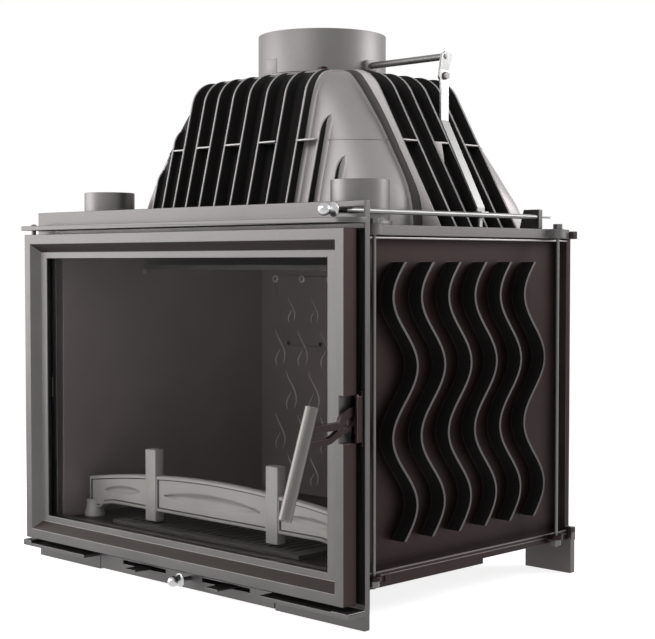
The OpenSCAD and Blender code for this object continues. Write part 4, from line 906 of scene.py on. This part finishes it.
# Heights of the air holes in the fire back, whose walls get painted shade
HOLES_LOW_Z, HOLES_HIGH_Z = 323, 333
LEG_TOP_Z = 62
# The pull rod in front of this depth is painted dark as shade
ROD_END_Y = -4


def make_castings():
    """The softened copies, with cuts in the facade beside the door, in the pull rod and above the legs."""
    door = nodes["door_frame"].bound_box
    low, high = min(corner[2] for corner in door), max(corner[2] for corner in door)
    along_x, along_y, along_z = (1, 0, 0), (0, 1, 0), (0, 0, 1)
    cuts = {"facade_frame": [(at(BESIDE_DOOR_X, 0, 0), along_x), ((0, 0, low), along_z), ((0, 0, high), along_z)],
            "pull_rod": [(at(0, ROD_END_Y, 0), along_y)],
            "back_panel": [(at(0, 0, LEG_TOP_Z), along_z)]}
    return {node: soften(node, width, cuts.get(node, ())) for node, width in EDGE_WIDTHS.items()}


def finish_castings(castings):
    """The second finishes: painted shade in recesses, on bevels and on flanks, painted highlights on tips, and
    the inner walls.
    """
    door_front = min(level_of(vertex.co)[1] for vertex in castings["door_frame"].data.vertices)

    # Flanks of the wavy fins on the side panels, painted dark as shade
    def fin_flank(x, y, z, normal):
        return abs(normal.x) < 0.5 and FIN_FOOT_X < abs(x) < FIN_TIP_X and FIN_LOW_Z < z < FIN_HIGH_Z and y > 20

    # Tips of the wavy fins, with a painted highlight
    def fin_tip(x, y, z, normal):
        return abs(normal.x) > 0.9 and abs(x) > FIN_TIP_X

    def inner_wall(x, y, z, normal):
        return abs(x) < PANEL_INSIDE_X

    # Bevels of the door rim, painted dark as shade
    def door_bevel(x, y, z, normal):
        return normal.y < -0.3 and abs(normal.z) > 0.3

    # Side faces of the door, painted dark as shade
    def door_flank(x, y, z, normal):
        return abs(normal.x) > 0.9 and abs(x) > DOOR_EDGE_X

    # Floor of the latch notch in the door, painted dark as shade
    def notch_floor(x, y, z, normal):
        return normal.y < -0.9 and x > 318 and y > door_front + 4

    # Walls of the air holes in the fire back, painted dark as shade
    def hole_wall(x, y, z, normal):
        return abs(normal.y) < 0.5 and HOLES_LOW_Z < z < HOLES_HIGH_Z and abs(x) < 300

    # Tops of the low ledges, painted near black as shade under the door
    def ledge_top(x, y, z, normal):
        return normal.z > 0.9 and y < 0 and z < LEDGE_Z

    # The facade's front beside the door, painted black as shade
    def beside_door(x, y, z, normal):
        return normal.y < -0.9 and x > BESIDE_DOOR_X and 41 < z < 497 and -2 < y < 2

    # The back panel's sides above the legs take the body's dark brown, partly painted shade
    def above_leg(x, y, z, normal):
        return abs(normal.x) > 0.9 and z > LEG_TOP_Z and abs(x) > 300

    # Front part of the pull rod, painted dark as shade
    def rod_end(x, y, z, normal):
        return y < ROD_END_Y

    for node, material, test in (
            ("side_panel_left", painted_shade_iron, fin_flank),
            ("side_panel_left", tip_highlight_iron, fin_tip),
            ("side_panel_left", wall_iron, inner_wall),
            ("side_panel_right", painted_shade_iron, fin_flank),
            ("side_panel_right", tip_highlight_iron, fin_tip),
            ("side_panel_right", wall_iron, inner_wall),
            ("door_frame", bevel_shade_iron, door_bevel),
            ("door_frame", flank_shade_iron, door_flank),
            ("door_frame", flank_shade_iron, notch_floor),
            ("fire_back", painted_shade_iron, hole_wall),
            ("facade_frame", painted_shade_iron, ledge_top),
            ("facade_frame", painted_shade_iron, beside_door),
            ("air_inlet_cover", painted_shade_iron, ledge_top),
            ("back_panel", body_iron, above_leg),
            ("pull_rod", bracket_iron, rod_end)):
        paint(castings[node], material, test)


# How far from the middle the upper beads start and end, and how far back all of them go
BEAD_IN_X, BEAD_OUT_X, BEAD_REAR = 307.0, 328.0, 474.0
# Beads on the base plate: lower and upper edge, and how far from the middle they end
BASE_BEADS = ((63.8, 65.6, 330.9), (59.2, 60.5, 330.6))


def make_beads():
    """A thin bead along the top of each side panel, and two along each side of the base plate, lighter as a
    painted highlight.
    """
    for side, word in ((-1, "left"), (1, "right")):
        shape = bmesh.new()
        x0, x1 = sorted((side * BEAD_IN_X, side * BEAD_OUT_X))
        rounded_block(shape, (x0, 14.0, 499.6), (x1, BEAD_REAR, 501.8), 0.5)
        node = "side_panel_" + word
        settle(shape, node + "_bead", [bead_highlight_iron], node, covers=False)
        shape = bmesh.new()
        for low, high, proud in BASE_BEADS:
            x0, x1 = sorted((side * BEAD_OUT_X, side * proud))
            rounded_block(shape, (x0, 12.0, low), (x1, BEAD_REAR, high), 0.4)
        settle(shape, "base_plate_bead_" + word, [leg_iron], "base_plate", covers=False)


make_hood()
make_collar()
make_guard()
make_relief()
make_knob("pull_knob", 325.0, 535.0, ball_d=16.6, ball_y=42.7, bell_d=18.2, bell_y=24.7)
make_knob("air_slide_knob", 14.0, 17.5, ball_d=15.4, ball_y=31.5, bell_d=19.0, bell_y=17.5)
finish_castings(make_castings())
make_beads()

# Floor, world, lamps and camera, in metres

FLOOR_HALF = 9.0
# The floor shows its shadows up to the first distance from the middle and is plain white from the second
SHADOW_REACH, CLEAR_REACH = 1.1, 2.0
WHITE = (1, 1, 1, 1)
FLOOR_GLOW, FLOOR_COLOUR = 0.85, (0.75, 0.75, 0.75, 1)
WORLD_LIGHT = 0.22

# Name, place, target, width and height, radiance, and the share of the lamp that is at full strength
LAMPS = (
    ("key", (-2.1, -1.9, 1.38), (0.0, -0.2, 0.75), (3.8, 2.1), 5.3, 0.15),
    ("low_fill", (-2.0, -1.65, 0.32), (0.0, -0.2, 0.1), (3.0, 0.6), 6.0, 0.2),
    ("front_high", (0.2, -2.2, 1.9), (0.0, -0.1, 0.6), (2.0, 1.2), 3.6, 0.35),
    ("back_right", (1.6, 1.9, 1.42), (0.0, 0.1, 0.9), (1.8, 1.5), 10.0, 0.35),
)

# The camera that the photograph's edges give: its place, its turn and its lens
CAMERA_PLACE = at(1618.1, -1358.9, 468.0)
CAMERA_YAW = math.radians(-44.465)
CAMERA_PITCH = math.radians(-2.150)
CAMERA_LENS = 81.05
CAMERA_SHIFT = (0.0041, -0.0020)


def ray_to_background(tree):
    """1 for rays that see the background: from the camera, mirrored, or through glass."""
    path = add(tree, "ShaderNodeLightPath")
    first = add(tree, "ShaderNodeMath", {0: path.outputs["Is Camera Ray"], 1: path.outputs["Is Glossy Ray"]},
                operation="MAXIMUM")
    return add(tree, "ShaderNodeMath", {0: first.outputs[0], 1: path.outputs["Is Transmission Ray"]},
               operation="MAXIMUM").outputs[0]


def make_floor():
    mesh = bpy.data.meshes.new("floor")
    half = FLOOR_HALF
    mesh.from_pydata([(-half, -half, 0), (half, -half, 0), (half, half, 0), (-half, half, 0)], [], [(0, 1, 2, 3)])
    floor = bpy.data.objects.new("floor", mesh)
    bpy.context.scene.collection.objects.link(floor)
    material, tree, output = new_material("floor_white")
    distance = add(tree, "ShaderNodeVectorMath", {0: object_place(tree)}, operation="LENGTH").outputs["Value"]
    far = ramp(tree, distance, SHADOW_REACH, CLEAR_REACH)
    white = add(tree, "ShaderNodeEmission", {"Color": WHITE, "Strength": 1.0})
    soft = add(tree, "ShaderNodeEmission", {"Color": WHITE, "Strength": FLOOR_GLOW})
    matt = add(tree, "ShaderNodeBsdfDiffuse", {"Color": FLOOR_COLOUR})
    lit = add(tree, "ShaderNodeAddShader", {0: soft.outputs[0], 1: matt.outputs[0]})
    near = add(tree, "ShaderNodeMixShader", {0: far, 1: lit.outputs[0], 2: white.outputs[0]})
    seen = add(tree, "ShaderNodeMixShader", {0: ray_to_background(tree), 1: matt.outputs[0], 2: near.outputs[0]})
    tree.links.new(seen.outputs[0], output.inputs["Surface"])
    mesh.materials.append(material)


def make_world():
    world = bpy.data.worlds.new("studio")
    bpy.context.scene.world = world
    world.use_nodes = True
    tree = world.node_tree
    tree.nodes.clear()
    output = tree.nodes.new("ShaderNodeOutputWorld")
    soft = add(tree, "ShaderNodeBackground", {"Color": WHITE, "Strength": WORLD_LIGHT})
    white = add(tree, "ShaderNodeBackground", {"Color": WHITE, "Strength": 1.0})
    seen = add(tree, "ShaderNodeMixShader", {0: ray_to_background(tree), 1: soft.outputs[0], 2: white.outputs[0]})
    tree.links.new(seen.outputs[0], output.inputs["Surface"])


def make_lamp(name, place, target, size, radiance, core):
    """A rectangular lamp that fades to the white of the room at its rim, so that its mirror image has no edge."""
    lamp = bpy.data.lights.new(name, "AREA")
    lamp.shape = "RECTANGLE"
    lamp.size, lamp.size_y = size
    lamp.energy = radiance * math.pi * size[0] * size[1]
    lamp.use_nodes = True
    tree = lamp.node_tree
    emission = next(node for node in tree.nodes if node.type == "EMISSION")
    spot = add(tree, "ShaderNodeNewGeometry").outputs["Parametric"]
    centred = add(tree, "ShaderNodeVectorMath", {0: spot, 1: (0.5, 0.5, 0.0)}, operation="SUBTRACT")
    flat = add(tree, "ShaderNodeVectorMath", {0: centred.outputs[0], 1: (2.0, 2.0, 0.0)}, operation="MULTIPLY")
    reach = add(tree, "ShaderNodeVectorMath", {0: flat.outputs[0]}, operation="LENGTH").outputs["Value"]
    tree.links.new(ramp(tree, reach, core, 1.0, 1.0, 1.0 / radiance), emission.inputs["Strength"])
    box = bpy.data.objects.new(name, lamp)
    box.location = place
    box.rotation_euler = (Vector(target) - Vector(place)).to_track_quat("-Z", "Y").to_euler()
    box.visible_transmission = False
    bpy.context.scene.collection.objects.link(box)


def make_camera():
    data = bpy.data.cameras.new("camera")
    data.sensor_fit = "HORIZONTAL"
    data.sensor_width = 36.0
    data.lens = CAMERA_LENS
    data.shift_x, data.shift_y = CAMERA_SHIFT
    data.clip_end = 50.0
    camera = bpy.data.objects.new("camera", data)
    ahead = Vector((math.sin(CAMERA_YAW) * math.cos(CAMERA_PITCH),
                    math.cos(CAMERA_YAW) * math.cos(CAMERA_PITCH), math.sin(CAMERA_PITCH)))
    camera.location = CAMERA_PLACE
    camera.rotation_euler = ahead.to_track_quat("-Z", "Y").to_euler()
    bpy.context.scene.collection.objects.link(camera)
    bpy.context.scene.camera = camera


make_floor()
make_world()
for settings in LAMPS:
    make_lamp(*settings)
make_camera()
bpy.context.scene.view_settings.view_transform = "Standard"
